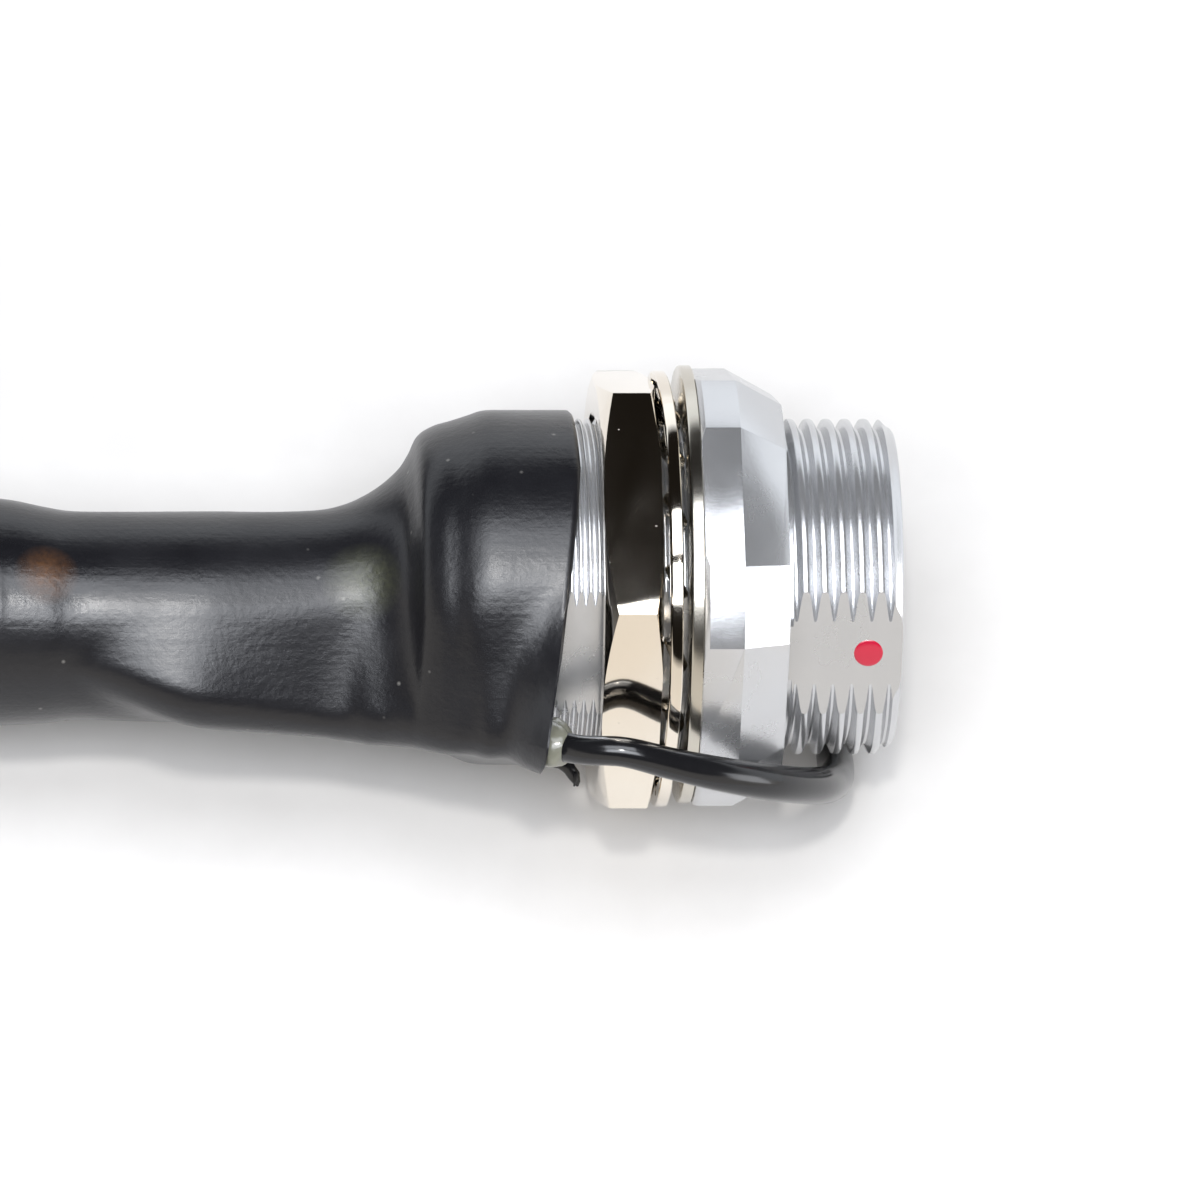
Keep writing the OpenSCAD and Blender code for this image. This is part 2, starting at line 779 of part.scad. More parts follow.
shell();
index_dot();
socket_seal();
earthing_crown();
front_insulator();
rear_insulator();
contacts();
retaining_ring();
flat_washer();
lock_washer();
hex_nut();
screen_ring();
clamp_collet();
clamp_nut();
conductors();
screened_core();
cable_jacket();
shrink_sleeve();
adhesive_lining();
adhesive_bead();
tether_loop();
cable_run();
cable_coil();
coil_tie();
end_sleeve();
lead_wires();
wire_ferrules();
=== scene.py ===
"""Panel connector receptacle on a screened cable: the dressed model.

Everything is placed in the connector's own frame: +X runs along the connector's
axis towards its mating face, +Z is up, and the origin is at the rear seating face
of the hexagonal flange. Sizes in the classes are in millimetres, as a maker would
write them; mm() and MM turn them into metres.
"""

import json
import logging
import math
from collections.abc import Iterator, Sequence
from contextlib import contextmanager
from dataclasses import dataclass
from enum import Enum
from functools import cached_property

import bpy
from mathutils import Matrix, Vector

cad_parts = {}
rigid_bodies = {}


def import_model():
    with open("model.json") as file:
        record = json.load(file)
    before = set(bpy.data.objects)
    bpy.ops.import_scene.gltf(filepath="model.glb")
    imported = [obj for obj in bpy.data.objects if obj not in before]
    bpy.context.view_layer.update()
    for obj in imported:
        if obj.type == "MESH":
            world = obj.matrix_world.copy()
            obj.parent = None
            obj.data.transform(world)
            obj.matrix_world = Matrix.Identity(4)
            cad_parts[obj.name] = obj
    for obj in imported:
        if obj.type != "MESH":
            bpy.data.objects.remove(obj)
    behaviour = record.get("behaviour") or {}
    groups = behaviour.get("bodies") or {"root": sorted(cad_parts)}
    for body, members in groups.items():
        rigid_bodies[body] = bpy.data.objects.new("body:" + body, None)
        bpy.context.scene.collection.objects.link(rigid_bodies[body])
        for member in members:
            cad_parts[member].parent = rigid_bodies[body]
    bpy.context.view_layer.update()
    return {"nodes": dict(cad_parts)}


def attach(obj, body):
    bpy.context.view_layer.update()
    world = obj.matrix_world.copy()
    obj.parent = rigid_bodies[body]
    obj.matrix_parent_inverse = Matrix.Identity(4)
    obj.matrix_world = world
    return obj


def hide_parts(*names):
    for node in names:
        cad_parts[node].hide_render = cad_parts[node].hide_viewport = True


LOG = logging.getLogger("connector")
MM = 0.001
WELD = 1e-7  # distance in metres within which a skin's doubles are merged
THREAD_WELD = 2e-7  # the same for a thread, whose turns are wound one by one
FACING = 0.99  # share of a normal that counts as facing a direction
CRISP = 35.0  # usual angle in degrees above which an edge stays crisp
AXIS = 0.0001  # radius that stands for the axis in a turned profile
FLOOR_Z = -11.75
THREAD_FLAT = 8.25  # distance of the milled flat from the axis
THREAD_FLAT_ANGLE = 140.0  # direction of the flat, in degrees from +Y towards +Z

Row = tuple[float, ...]
Rgb = tuple[float, float, float]
Rows = tuple[Row, ...]
Pairs = Sequence[tuple[float, float]]
Obj = bpy.types.Object
Node = bpy.types.Node
Socket = bpy.types.NodeSocket


class Cut(Enum):
    """What a tool solid does to the piece that it is applied to."""

    REMOVE = "DIFFERENCE"
    KEEP = "INTERSECT"


class Body(Enum):
    """The bodies of the mechanism that pieces ride on."""

    CONNECTOR = "connector"
    WASHERS = "washers"
    NUT = "nut"


# --- small maths


def mm(*values: float) -> Vector:
    """Turns coordinates in millimetres into a vector in metres."""
    return Vector([value * MM for value in values])


def smooth(t: float) -> float:
    """Eases from 0 to 1 with level ends, and holds both."""
    t = min(max(t, 0.0), 1.0)
    return t * t * (3.0 - 2.0 * t)


def between(x: float, table: Pairs) -> float:
    """Reads a table of pairs, with straight lines between its rows.

    Args:
        x: The value to look up.
        table: Pairs of key and value, with rising keys.

    Returns:
        The value at x, held at both ends.
    """
    if x <= table[0][0]:
        return table[0][1]
    for (x0, y0), (x1, y1) in zip(table, table[1:]):
        if x <= x1:
            return y0 + (y1 - y0) * (x - x0) / (x1 - x0)
    return table[-1][1]


def along(rows: Sequence[Row], t: float) -> Row:
    """Finds a place on the curve that runs through every row of a list.

    Args:
        rows: The rows that the curve passes.
        t: The place, counted in rows.

    Returns:
        The row at that place.
    """
    last = len(rows) - 1
    i = min(int(t), last - 1)
    f = t - i
    a, b, c, d = rows[max(i - 1, 0)], rows[i], rows[i + 1], rows[min(i + 2, last)]
    return tuple(
        q
        + f * (r - p) / 2
        + f * f * (p - 2.5 * q + 2 * r - s / 2)
        + f * f * f * (1.5 * (q - r) + (s - p) / 2)
        for p, q, r, s in zip(a, b, c, d)
    )


def refined(rows: Sequence[Row], steps: int) -> list[Row]:
    """Cuts each stretch of the curve through some rows into steps."""
    return [along(rows, i / steps) for i in range(steps * (len(rows) - 1) + 1)]


def evenly(path: Sequence[Vector], count: int) -> list[Vector]:
    """Spreads points evenly along a line.

    Args:
        path: The line's points.
        count: How many points are wanted.

    Returns:
        The new points, with the line's own two ends.
    """
    reach = [0.0]
    for a, b in zip(path, path[1:]):
        reach.append(reach[-1] + (b - a).length)
    spread = []
    i = 0
    for k in range(count):
        want = reach[-1] * k / (count - 1)
        while i < len(path) - 2 and reach[i + 1] < want:
            i += 1
        step = max(reach[i + 1] - reach[i], 1e-12)
        spread.append(path[i].lerp(path[i + 1], min((want - reach[i]) / step, 1.0)))
    return spread


def about_x(angle: float) -> Matrix:
    """Makes a turn about the connector's axis, in degrees from +Y towards +Z."""
    return Matrix.Rotation(math.radians(angle), 4, "X")


# --- hand modelling


def choose(*pieces: Obj) -> None:
    """Selects some objects alone, and makes the first one active.

    Args:
        pieces: The objects.
    """
    for other in bpy.context.view_layer.objects:
        other.select_set(other in pieces)
    bpy.context.view_layer.objects.active = pieces[0]


@contextmanager
def editing(piece: Obj, everything: bool = True) -> Iterator[None]:
    """Opens a piece in edit mode, and closes it after.

    Args:
        piece: The piece to edit.
        everything: Whether all of it is selected first.

    Yields:
        Nothing.
    """
    choose(piece)
    bpy.ops.object.mode_set(mode="EDIT")
    if everything:
        bpy.ops.mesh.select_all(action="SELECT")
    yield
    bpy.ops.object.mode_set(mode="OBJECT")


def named(name: str) -> Obj:
    """Takes the object that an operator has just made, and names it.

    Args:
        name: Its name.

    Returns:
        The object.
    """
    piece = bpy.context.object
    piece.name = piece.data.name = name
    return piece


def moved(piece: Obj, place: Matrix | None = None) -> Obj:
    """Moves or turns a piece, and applies its place, turn and scale to its mesh.

    Args:
        piece: The piece.
        place: Where it goes, if that isn't where it is.

    Returns:
        The same piece.
    """
    if place:
        piece.matrix_world = place
    choose(piece)
    bpy.ops.object.transform_apply(location=True, rotation=True, scale=True)
    return piece


def copies(pattern: Obj, places: Sequence[Matrix]) -> list[Obj]:
    """Sets out copies of a piece, and takes the pattern away.

    Args:
        pattern: The piece to copy.
        places: The place of each copy.

    Returns:
        The copies.
    """
    parts = []
    for place in places:
        part = pattern.copy()
        part.data = pattern.data.copy()
        bpy.context.scene.collection.objects.link(part)
        parts.append(moved(part, place))
    bpy.data.objects.remove(pattern)
    return parts


def finished(piece: Obj, kind: str, **settings: object) -> Obj:
    """Adds one modifier to a piece and applies it.

    Args:
        piece: The piece.
        kind: Blender's name for the modifier.
        settings: The modifier's own settings.

    Returns:
        The same piece.
    """
    choose(piece)
    modifier = piece.modifiers.new(kind.title(), kind)
    for key, value in settings.items():
        setattr(modifier, key, value)
    bpy.ops.object.modifier_apply(modifier=modifier.name)
    return piece


def rounded(piece: Obj, width: float, segments: int, angle: float) -> Obj:
    """Rounds the sharp edges of a piece.

    Args:
        piece: The piece.
        width: Width of the rounding, in millimetres.
        segments: How many faces go round each edge.
        angle: Edges sharper than this many degrees are rounded.

    Returns:
        The same piece.
    """
    return finished(
        piece, "BEVEL", width=width * MM, segments=segments, limit_method="ANGLE",
        angle_limit=math.radians(angle),
    )


def carved(piece: Obj, tool: Obj, cut: Cut) -> Obj:
    """Cuts a piece with a closed tool solid, and takes the tool away.

    Args:
        piece: The piece that stays.
        tool: The solid that cuts it.
        cut: Whether the tool's space is removed or kept.

    Returns:
        The same piece.
    """
    finished(piece, "BOOLEAN", operation=cut.value, object=tool, solver="EXACT")
    bpy.data.objects.remove(tool)
    return piece


def shaded(piece: Obj, angle: float) -> Obj:
    """Shades a piece smooth, apart from its sharp edges.

    Args:
        piece: The piece.
        angle: Edges sharper than this many degrees stay crisp.

    Returns:
        The same piece.
    """
    choose(piece)
    bpy.ops.object.shade_smooth_by_angle(angle=math.radians(angle))
    return piece


def joined(pieces: Sequence[Obj], name: str) -> Obj:
    """Joins several objects into the first one's mesh.

    Args:
        pieces: The objects.
        name: The name of the whole.

    Returns:
        The whole.
    """
    choose(*pieces)
    bpy.ops.object.join()
    return named(name)


def chain(name: str, profile: Pairs) -> Obj:
    """Draws a profile in the XZ plane, by extruding one vertex again and again.

    Args:
        name: The piece's name.
        profile: Pairs of station along X and radius, in millimetres.

    Returns:
        An object with vertices and edges alone.
    """
    bpy.ops.mesh.primitive_plane_add(size=MM)
    piece = named(name)
    with editing(piece):
        bpy.ops.mesh.merge(type="CENTER")
        x, r = profile[0]
        bpy.ops.transform.translate(value=mm(x, 0, r))
        for (x0, r0), (x1, r1) in zip(profile, profile[1:]):
            step = {"value": mm(x1 - x0, 0, r1 - r0)}
            bpy.ops.mesh.extrude_vertices_move(TRANSFORM_OT_translate=step)
    return piece


def turned(name: str, profile: Pairs, steps: int = 96) -> Obj:
    """Turns a closed profile about the connector's axis, as on a lathe.

    Args:
        name: The piece's name.
        profile: Pairs of station along X and radius, in millimetres.
        steps: How many faces go round.

    Returns:
        A closed solid.
    """
    piece = chain(name, [*profile, profile[0]])
    with editing(piece):
        bpy.ops.mesh.remove_doubles(threshold=WELD)
        bpy.ops.mesh.select_all(action="SELECT")
        bpy.ops.mesh.spin(steps=steps, angle=math.tau, center=(0, 0, 0), axis=(1, 0, 0))
        bpy.ops.mesh.select_all(action="SELECT")
        bpy.ops.mesh.remove_doubles(threshold=WELD)
        bpy.ops.mesh.normals_make_consistent(inside=False)
    return piece


def wrapped(name: str, rings: Sequence[Sequence[Vector]], endless: bool = False) -> Obj:
    """Wraps a grid primitive into a skin that passes through a list of rings.

    Args:
        name: The piece's name.
        rings: Rings of the same number of points, in metres.
        endless: Whether the last ring is the first again.

    Returns:
        A closed skin, with its own UV map along and round it.
    """
    sides, length = len(rings[0]), len(rings) - 1
    bpy.ops.mesh.primitive_grid_add(
        x_subdivisions=sides, y_subdivisions=length, size=1.0, calc_uvs=True
    )
    piece = named(name)
    for vertex in piece.data.vertices:
        across = round((vertex.co.x + 0.5) * sides)
        down = round((vertex.co.y + 0.5) * length)
        vertex.co = rings[down][across % sides]
    with editing(piece):
        bpy.ops.mesh.remove_doubles(threshold=WELD)
        if not endless:
            bpy.ops.mesh.select_all(action="SELECT")
            bpy.ops.mesh.fill_holes(sides=0)
        bpy.ops.mesh.select_all(action="SELECT")
        bpy.ops.mesh.normals_make_consistent(inside=False)
    return piece


def swept(
    name: str, path: Sequence[Vector], radii: float | Sequence[float], sides: int,
    first: Row = (0, 0, -1),
) -> Obj:
    """Sweeps a round section along a path, without twist.

    Args:
        name: The piece's name.
        path: The centres of its rings, in metres.
        radii: One radius, or one for each ring, in metres.
        sides: How many faces go round.
        first: The direction in which each ring starts.

    Returns:
        A closed tube.
    """
    sizes = [radii] * len(path) if isinstance(radii, float) else radii
    up = Vector(first)
    rings = []
    for i, centre in enumerate(path):
        heading = (path[min(i + 1, len(path) - 1)] - path[max(i - 1, 0)]).normalized()
        up = (up - up.dot(heading) * heading).normalized()
        side = heading.cross(up)
        rings.append([
            centre + sizes[i] * (math.cos(a) * up + math.sin(a) * side)
            for a in (math.tau * k / sides for k in range(sides))
        ])
    return wrapped(name, rings)


def sliced(piece: Obj, x: float, side: int) -> None:
    """Cuts off what lies beyond a station on the axis, and closes the cut.

    Args:
        piece: The piece.
        x: The station, in millimetres.
        side: The side that goes, 1 in front or -1 behind.
    """
    with editing(piece):
        bpy.ops.mesh.bisect(plane_co=mm(x, 0, 0), plane_no=(side, 0, 0), clear_outer=True)
        bpy.ops.mesh.select_all(action="SELECT")
        bpy.ops.mesh.fill_holes(sides=0)


def block(name: str, low: Vector, high: Vector) -> Obj:
    """Makes a box between two corners.

    Args:
        name: The piece's name.
        low: The lowest corner, in metres.
        high: The highest corner, in metres.

    Returns:
        The box, with its place in its mesh.
    """
    bpy.ops.mesh.primitive_cube_add(size=1.0, location=(low + high) / 2)
    piece = named(name)
    piece.scale = high - low
    return moved(piece)


def hexagon(name: str, across: float, rear: float, front: float) -> Obj:
    """Cuts a length of hexagonal bar.

    Args:
        name: The piece's name.
        across: Width across the flats, in millimetres.
        rear: Station of its rear face, in millimetres.
        front: Station of its front face, in millimetres.

    Returns:
        The bar, along the connector's axis.
    """
    bpy.ops.mesh.primitive_cylinder_add(
        vertices=6, radius=across / 2 / math.cos(math.radians(30)) * MM,
        depth=(front - rear) * MM, location=mm((front + rear) / 2, 0, 0),
        rotation=(0, math.radians(90), 0),
    )
    return moved(named(name))


def squared(piece: Obj, angle: float = 0.0) -> Obj:
    """Turns a hexagon so that its corners stand at an angle from +Y."""
    first = piece.data.vertices[0].co
    return moved(piece, about_x(angle - math.degrees(math.atan2(first.z, first.y)) % 60.0))


def fitted(piece: Obj, slot: str, *stands_for: str, body: Body = Body.CONNECTOR) -> Obj:
    """Puts a finished piece on its body, and hides the plain solids that it stands for.

    Args:
        piece: The finished piece.
        slot: Not used.
        stands_for: The plain solids that it replaces.
        body: The body that it rides on.

    Returns:
        The same piece.
    """
    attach(piece, body.value)
    if stands_for:
        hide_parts(*stands_for)
    LOG.info("%s: %d faces, on %s", piece.name, len(piece.data.polygons), body.value)
    return piece


# --- shader building


class Recipe:
    """Places and joins the shader nodes of one material, world or group."""

    def __init__(self, tree: bpy.types.NodeTree) -> None:
        """Starts on a node tree, and empties it."""
        self.tree = tree
        tree.nodes.clear()

    def add(
        self, kind: str, *terms: object, settings: dict[str, object] | None = None,
        **inputs: object,
    ) -> Node:
        """Places a node and fills or joins its sockets.

        Args:
            kind: Blender's name for the node, after ShaderNode.
            terms: Values, or sockets to join, for its first sockets in order.
            settings: The node's own settings.
            inputs: Values, or sockets to join, by socket name with _ for a space.

        Returns:
            The new node.
        """
        node = self.tree.nodes.new("ShaderNode" + kind)
        for key, value in (settings or {}).items():
            setattr(node, key, value)
        for key, value in [*enumerate(terms), *inputs.items()]:
            self.feed(node, key, value)
        return node

    def feed(self, node: Node, key: str | int, value: object) -> None:
        """Sets a socket to a value, or joins another socket to it.

        Args:
            node: The node.
            key: The socket's number, or its name with _ for a space.
            value: The value or the other socket.
        """
        socket = node.inputs[key if isinstance(key, int) else key.replace("_", " ")]
        if isinstance(value, Socket):
            self.tree.links.new(value, socket)
        elif socket.type == "RGBA":
            socket.default_value = (*value[:3], 1.0)
        else:
            socket.default_value = value

    def maths(self, operation: str, *terms: object) -> Socket:
        """Joins a Math node to its terms."""
        return self.add("Math", *terms, settings={"operation": operation}).outputs[0]

    def times(self, first: object, second: object) -> Socket:
        """Multiplies two values or sockets."""
        return self.maths("MULTIPLY", first, second)

    def noise(self, place: Socket, scale: object, detail: float, **more: object) -> Socket:
        """Adds a noise texture, and gives its grey."""
        return self.add(
            "TexNoise", Vector=place, Scale=scale, Detail=detail, **more
        ).outputs["Fac"]

    def spread(self, value: Socket, *limits: object, **settings: object) -> Socket:
        """Maps a value from two limits to two others, which are 0 and 1 if left out."""
        return self.add("MapRange", value, *limits, settings=settings).outputs[0]

    def ramp(self, factor: Socket, stops: Sequence[tuple[float, Rgb]]) -> Socket:
        """Adds a colour ramp.

        Args:
            factor: The socket that runs along the ramp.
            stops: Pairs of position and colour.

        Returns:
            The ramp's colour socket.
        """
        node = self.add("ValToRGB", factor)
        elements = node.color_ramp.elements
        while len(elements) < len(stops):
            elements.new(0.5)
        for element, (position, colour) in zip(elements, stops):
            element.position = position
            element.color = (*colour, 1.0)
        return node.outputs[0]

    def mixed(self, factor: object, first: object, second: object) -> Socket:
        """Mixes two colours.

        Args:
            factor: The share of the second colour.
            first: A colour or socket.
            second: A colour or socket.

        Returns:
            The mixed colour's socket.
        """
        node = self.add("Mix", settings={"data_type": "RGBA"})
        for key, value in ((0, factor), (6, first), (7, second)):
            self.feed(node, key, value)
        return node.outputs[2]

    def effect(
        self, tree: bpy.types.NodeTree, **inputs: object
    ) -> bpy.types.bpy_prop_collection:
        """Places one of the shared effects.

        Args:
            tree: The effect's node group.
            inputs: The effect's own values or sockets.

        Returns:
            The outputs, by name.
        """
        node = self.add("Group", settings={"node_tree": tree})
        for key, value in inputs.items():
            self.feed(node, key, value)
        return node.outputs


class Group(Recipe):
    """A node group for an effect that several finishes share."""

    def __init__(self, name: str, **inputs: float | None) -> None:
        """Starts the group with its input sockets.

        Args:
            name: The group's name.
            inputs: First values by socket name, or None for a vector.
        """
        super().__init__(bpy.data.node_groups.new(name, "ShaderNodeTree"))
        for label, value in inputs.items():
            kind = "NodeSocketVector" if value is None else "NodeSocketFloat"
            socket = self.tree.interface.new_socket(label, in_out="INPUT", socket_type=kind)
            if value is not None:
                socket.default_value = value
        self.given = self.tree.nodes.new("NodeGroupInput").outputs[:len(inputs)]

    def leave(self, **results: Socket) -> bpy.types.NodeTree:
        """Puts results out by their names, all as plain values.

        Args:
            results: The sockets to put out.

        Returns:
            The group's tree.
        """
        for label in results:
            self.tree.interface.new_socket(
                label, in_out="OUTPUT", socket_type="NodeSocketFloat"
            )
        node = self.tree.nodes.new("NodeGroupOutput")
        for label, socket in results.items():
            self.feed(node, label, socket)
        return self.tree


def new_material(name: str) -> tuple[bpy.types.Material, Recipe, Socket]:
    """Starts a material.

    Args:
        name: Its name.

    Returns:
        The material, its recipe and the socket of its piece's own coordinates.
    """
    material = bpy.data.materials.new(name)
    material.use_nodes = True
    recipe = Recipe(material.node_tree)
    return material, recipe, recipe.add("TexCoord").outputs["Object"]


def fine_grain() -> bpy.types.NodeTree:
    """Builds a fine grain, such as a blasted or moulded surface has.

    Returns:
        A group that puts out a height and a mask.
    """
    group = Group("fine_grain", Place=None, Scale=4000.0, Softness=0.5)
    place, scale, softness = group.given
    pit_scale, pit_depth = 0.6, 0.4
    fine = group.noise(place, scale, 3.0, Roughness=softness)
    pits = group.add("TexVoronoi", Vector=place, Scale=group.times(scale, pit_scale))
    pitted = group.times(pits.outputs["Distance"], pit_depth)
    return group.leave(Height=group.maths("ADD", fine, pitted), Mask=fine)


def drawn_streaks() -> bpy.types.NodeTree:
    """Builds drawn-out lines, such as a tool or a die leaves.

    Returns:
        A group that puts out a height and a mask.
    """
    group = Group("drawn_streaks", Place=None, Stretch=None, Scale=1000.0)
    place, stretch, scale = group.given
    broad_scale = 0.23
    pulled = group.add(
        "VectorMath", place, stretch, settings={"operation": "MULTIPLY"}
    ).outputs[0]
    fine = group.noise(pulled, scale, 4.0, Roughness=0.6)
    broad = group.noise(pulled, group.times(scale, broad_scale), 2.0)
    both = group.times(group.maths("ADD", fine, broad), 0.5)
    return group.leave(Height=both, Mask=broad)


def handling_smudges() -> bpy.types.NodeTree:
    """Builds patches of handling that change how rough a surface is.

    Returns:
        A group that puts out a roughness and a mask.
    """
    group = Group("handling_smudges", Place=None, Scale=250.0, Low=0.2, High=0.4)
    place, scale, low, high = group.given
    bare, worn = 0.32, 0.68
    cloud = group.noise(place, scale, 5.0, Roughness=0.62, Distortion=0.4)
    return group.leave(Roughness=group.spread(cloud, bare, worn, low, high), Mask=cloud)


def dust_specks() -> bpy.types.NodeTree:
    """Builds scattered specks of dust.

    Returns:
        A group that puts out a mask.
    """
    group = Group("dust_specks", Place=None, Scale=900.0, Size=0.12)
    place, scale, size = group.given
    empty = 0.62
    cells = group.add("TexVoronoi", Vector=place, Scale=scale)
    near = group.spread(cells.outputs["Distance"], size, 0.0)
    some = group.maths("GREATER_THAN", cells.outputs["Color"], empty)
    return group.leave(Mask=group.times(near, some))


class Effects:
    """The effects that several finishes share, each a node group built once."""

    def __init__(self) -> None:
        """Builds every group."""
        self.grain = fine_grain()
        self.streaks = drawn_streaks()
        self.smudges = handling_smudges()
        self.specks = dust_specks()


# --- finishes


@dataclass(frozen=True)
class Finish:
    """A surface with patches and grain, and often with drawn lines and dust.

    The patches bring out the second colour, and lead the roughness between its two
    values. Scales count per metre, and the depth, the crown and a stain's reach are in
    millimetres. A stain is a place, a reach and a tint.
    """

    name: str
    slot: str
    colour: Rgb = (0.5, 0.5, 0.5)
    second: Rgb = (0.4, 0.4, 0.4)
    rough: tuple[float, float] = (0.25, 0.4)
    patch_scale: float = 300.0
    patch_share: float = 1.0
    grain_scale: float = 2500.0
    grain_depth: float = 0.01
    softness: float = 0.5
    relief: float = 1.0
    line_stretch: Row = (1.0, 1.0, 1.0)
    line_scale: float = 500.0
    line_share: float = 0.0
    lines_coloured: bool = False
    dust: float = 0.0
    dust_scale: float = 700.0
    dust_colour: Rgb = (0.3, 0.29, 0.27)
    dust_share: float = 0.5
    dust_rough: float = 0.0
    metallic: float = 0.0
    specular: float = 0.5
    clear: float = 0.0
    coat: float = 0.0
    crown: float = 0.0
    stains: tuple[tuple[Row, float, Rgb], ...] = ()

    def crowned(self, recipe: Recipe, place: Socket) -> Socket:
        """Bows the six milled sides of the flange outwards.

        Args:
            recipe: The material's recipe.
            place: The coordinate socket.

        Returns:
            The bow's height, as a share of the grain's depth.
        """
        sides, middle, half = 6.0, 2.3 * MM, 2.25 * MM
        parts = recipe.add("SeparateXYZ", place).outputs
        angle = recipe.maths("ARCTAN2", parts["Z"], parts["Y"])
        wave = recipe.maths("COSINE", recipe.times(angle, sides))
        inside = recipe.maths("COMPARE", parts["X"], middle, half)
        bow = recipe.times(recipe.times(wave, inside), -self.crown)
        return recipe.maths("DIVIDE", bow, self.grain_depth)

    def stained(
        self, recipe: Recipe, place: Socket, mask: Socket, colour: Socket
    ) -> Socket:
        """Lays round stains on a colour.

        Args:
            recipe: The material's recipe.
            place: The coordinate socket.
            mask: The mask that breaks the stains up.
            colour: The colour socket.

        Returns:
            The stained colour.
        """
        for at, reach, tint in self.stains:
            away = recipe.add(
                "VectorMath", place, mm(*at), settings={"operation": "DISTANCE"}
            )
            spot = recipe.spread(away.outputs["Value"], reach * MM, 0.0)
            colour = recipe.mixed(recipe.times(spot, mask), colour, tint)
        return colour

    def material(self, effects: Effects) -> bpy.types.Material:
        """Builds the material.

        Args:
            effects: The shared effects.

        Returns:
            The finished material.
        """
        material, recipe, place = new_material(self.name)
        patches = recipe.effect(
            effects.smudges, Place=place, Scale=self.patch_scale, Low=self.rough[0],
            High=self.rough[1],
        )
        grain = recipe.effect(
            effects.grain, Place=place, Scale=self.grain_scale, Softness=self.softness
        )
        rough, shown, height = patches["Roughness"], self.patch_share, grain["Height"]
        if self.line_share:
            lines = recipe.effect(
                effects.streaks, Place=place, Stretch=self.line_stretch,
                Scale=self.line_scale,
            )
            shown = lines["Mask"] if self.lines_coloured else shown
            height = recipe.maths(
                "ADD", recipe.times(lines["Height"], self.line_share),
                recipe.times(height, 1.0 - self.line_share),
            )
        shown = recipe.times(patches["Mask"], shown)
        colour = recipe.mixed(shown, self.colour, self.second)
        colour = self.stained(recipe, place, grain["Mask"], colour)
        if self.dust:
            dust = recipe.effect(
                effects.specks, Place=place, Scale=self.dust_scale, Size=self.dust
            )["Mask"]
            shown = recipe.times(dust, self.dust_share)
            colour = recipe.mixed(shown, colour, self.dust_colour)
            rough = recipe.maths("ADD", rough, recipe.times(dust, self.dust_rough))
        if self.crown:
            height = recipe.maths("ADD", height, self.crowned(recipe, place))
        normal = recipe.add(
            "Bump", Height=height, Distance=self.grain_depth * MM, Strength=self.relief
        ).outputs[0]
        shader = recipe.add(
            "BsdfPrincipled", Base_Color=colour, Metallic=self.metallic,
            Roughness=rough, Specular_IOR_Level=self.specular,
            Transmission_Weight=self.clear, Coat_Weight=self.coat, Normal=normal,
        )
        recipe.add("OutputMaterial", shader.outputs[0])
        return material


@dataclass(frozen=True)
class Plating(Finish):
    """A plated metal, from satin to mirror bright."""

    rough: tuple[float, float] = (0.3, 0.4)
    patch_scale: float = 220.0
    patch_share: float = 0.55
    grain_scale: float = 6000.0
    grain_depth: float = 0.004
    softness: float = 0.55
    line_stretch: Row = (1.0, 0.04, 0.04)
    line_scale: float = 9000.0
    line_share: float = 0.5
    dust_scale: float = 1400.0
    dust_colour: Rgb = (0.55, 0.52, 0.48)
    dust_share: float = 1.0
    dust_rough: float = 0.4
    metallic: float = 1.0


@dataclass(frozen=True)
class DarkRubber(Finish):
    """Black rubber or shrink film, with drawn streaks, patches and dust."""

    colour: Rgb = (0.03, 0.03, 0.033)
    second: Rgb = (0.06, 0.06, 0.065)
    rough: tuple[float, float] = (0.42, 0.58)
    patch_scale: float = 120.0
    grain_scale: float = 3500.0
    softness: float = 0.6
    line_share: float = 0.3
    lines_coloured: bool = True
    dust: float = 0.1


@dataclass(frozen=True)
class Moulded(Finish):
    """A moulded or coated plastic, clear or opaque."""

    relief: float = 0.8


WIRE_COLOURS: dict[str, Rgb] = {
    "white": (0.75, 0.75, 0.72), "brown": (0.16, 0.07, 0.03),
    "green": (0.03, 0.28, 0.08), "yellow": (0.75, 0.58, 0.04),
    "grey": (0.28, 0.28, 0.29), "pink": (0.75, 0.3, 0.38),
    "blue": (0.03, 0.1, 0.42), "red": (0.55, 0.03, 0.03),
}

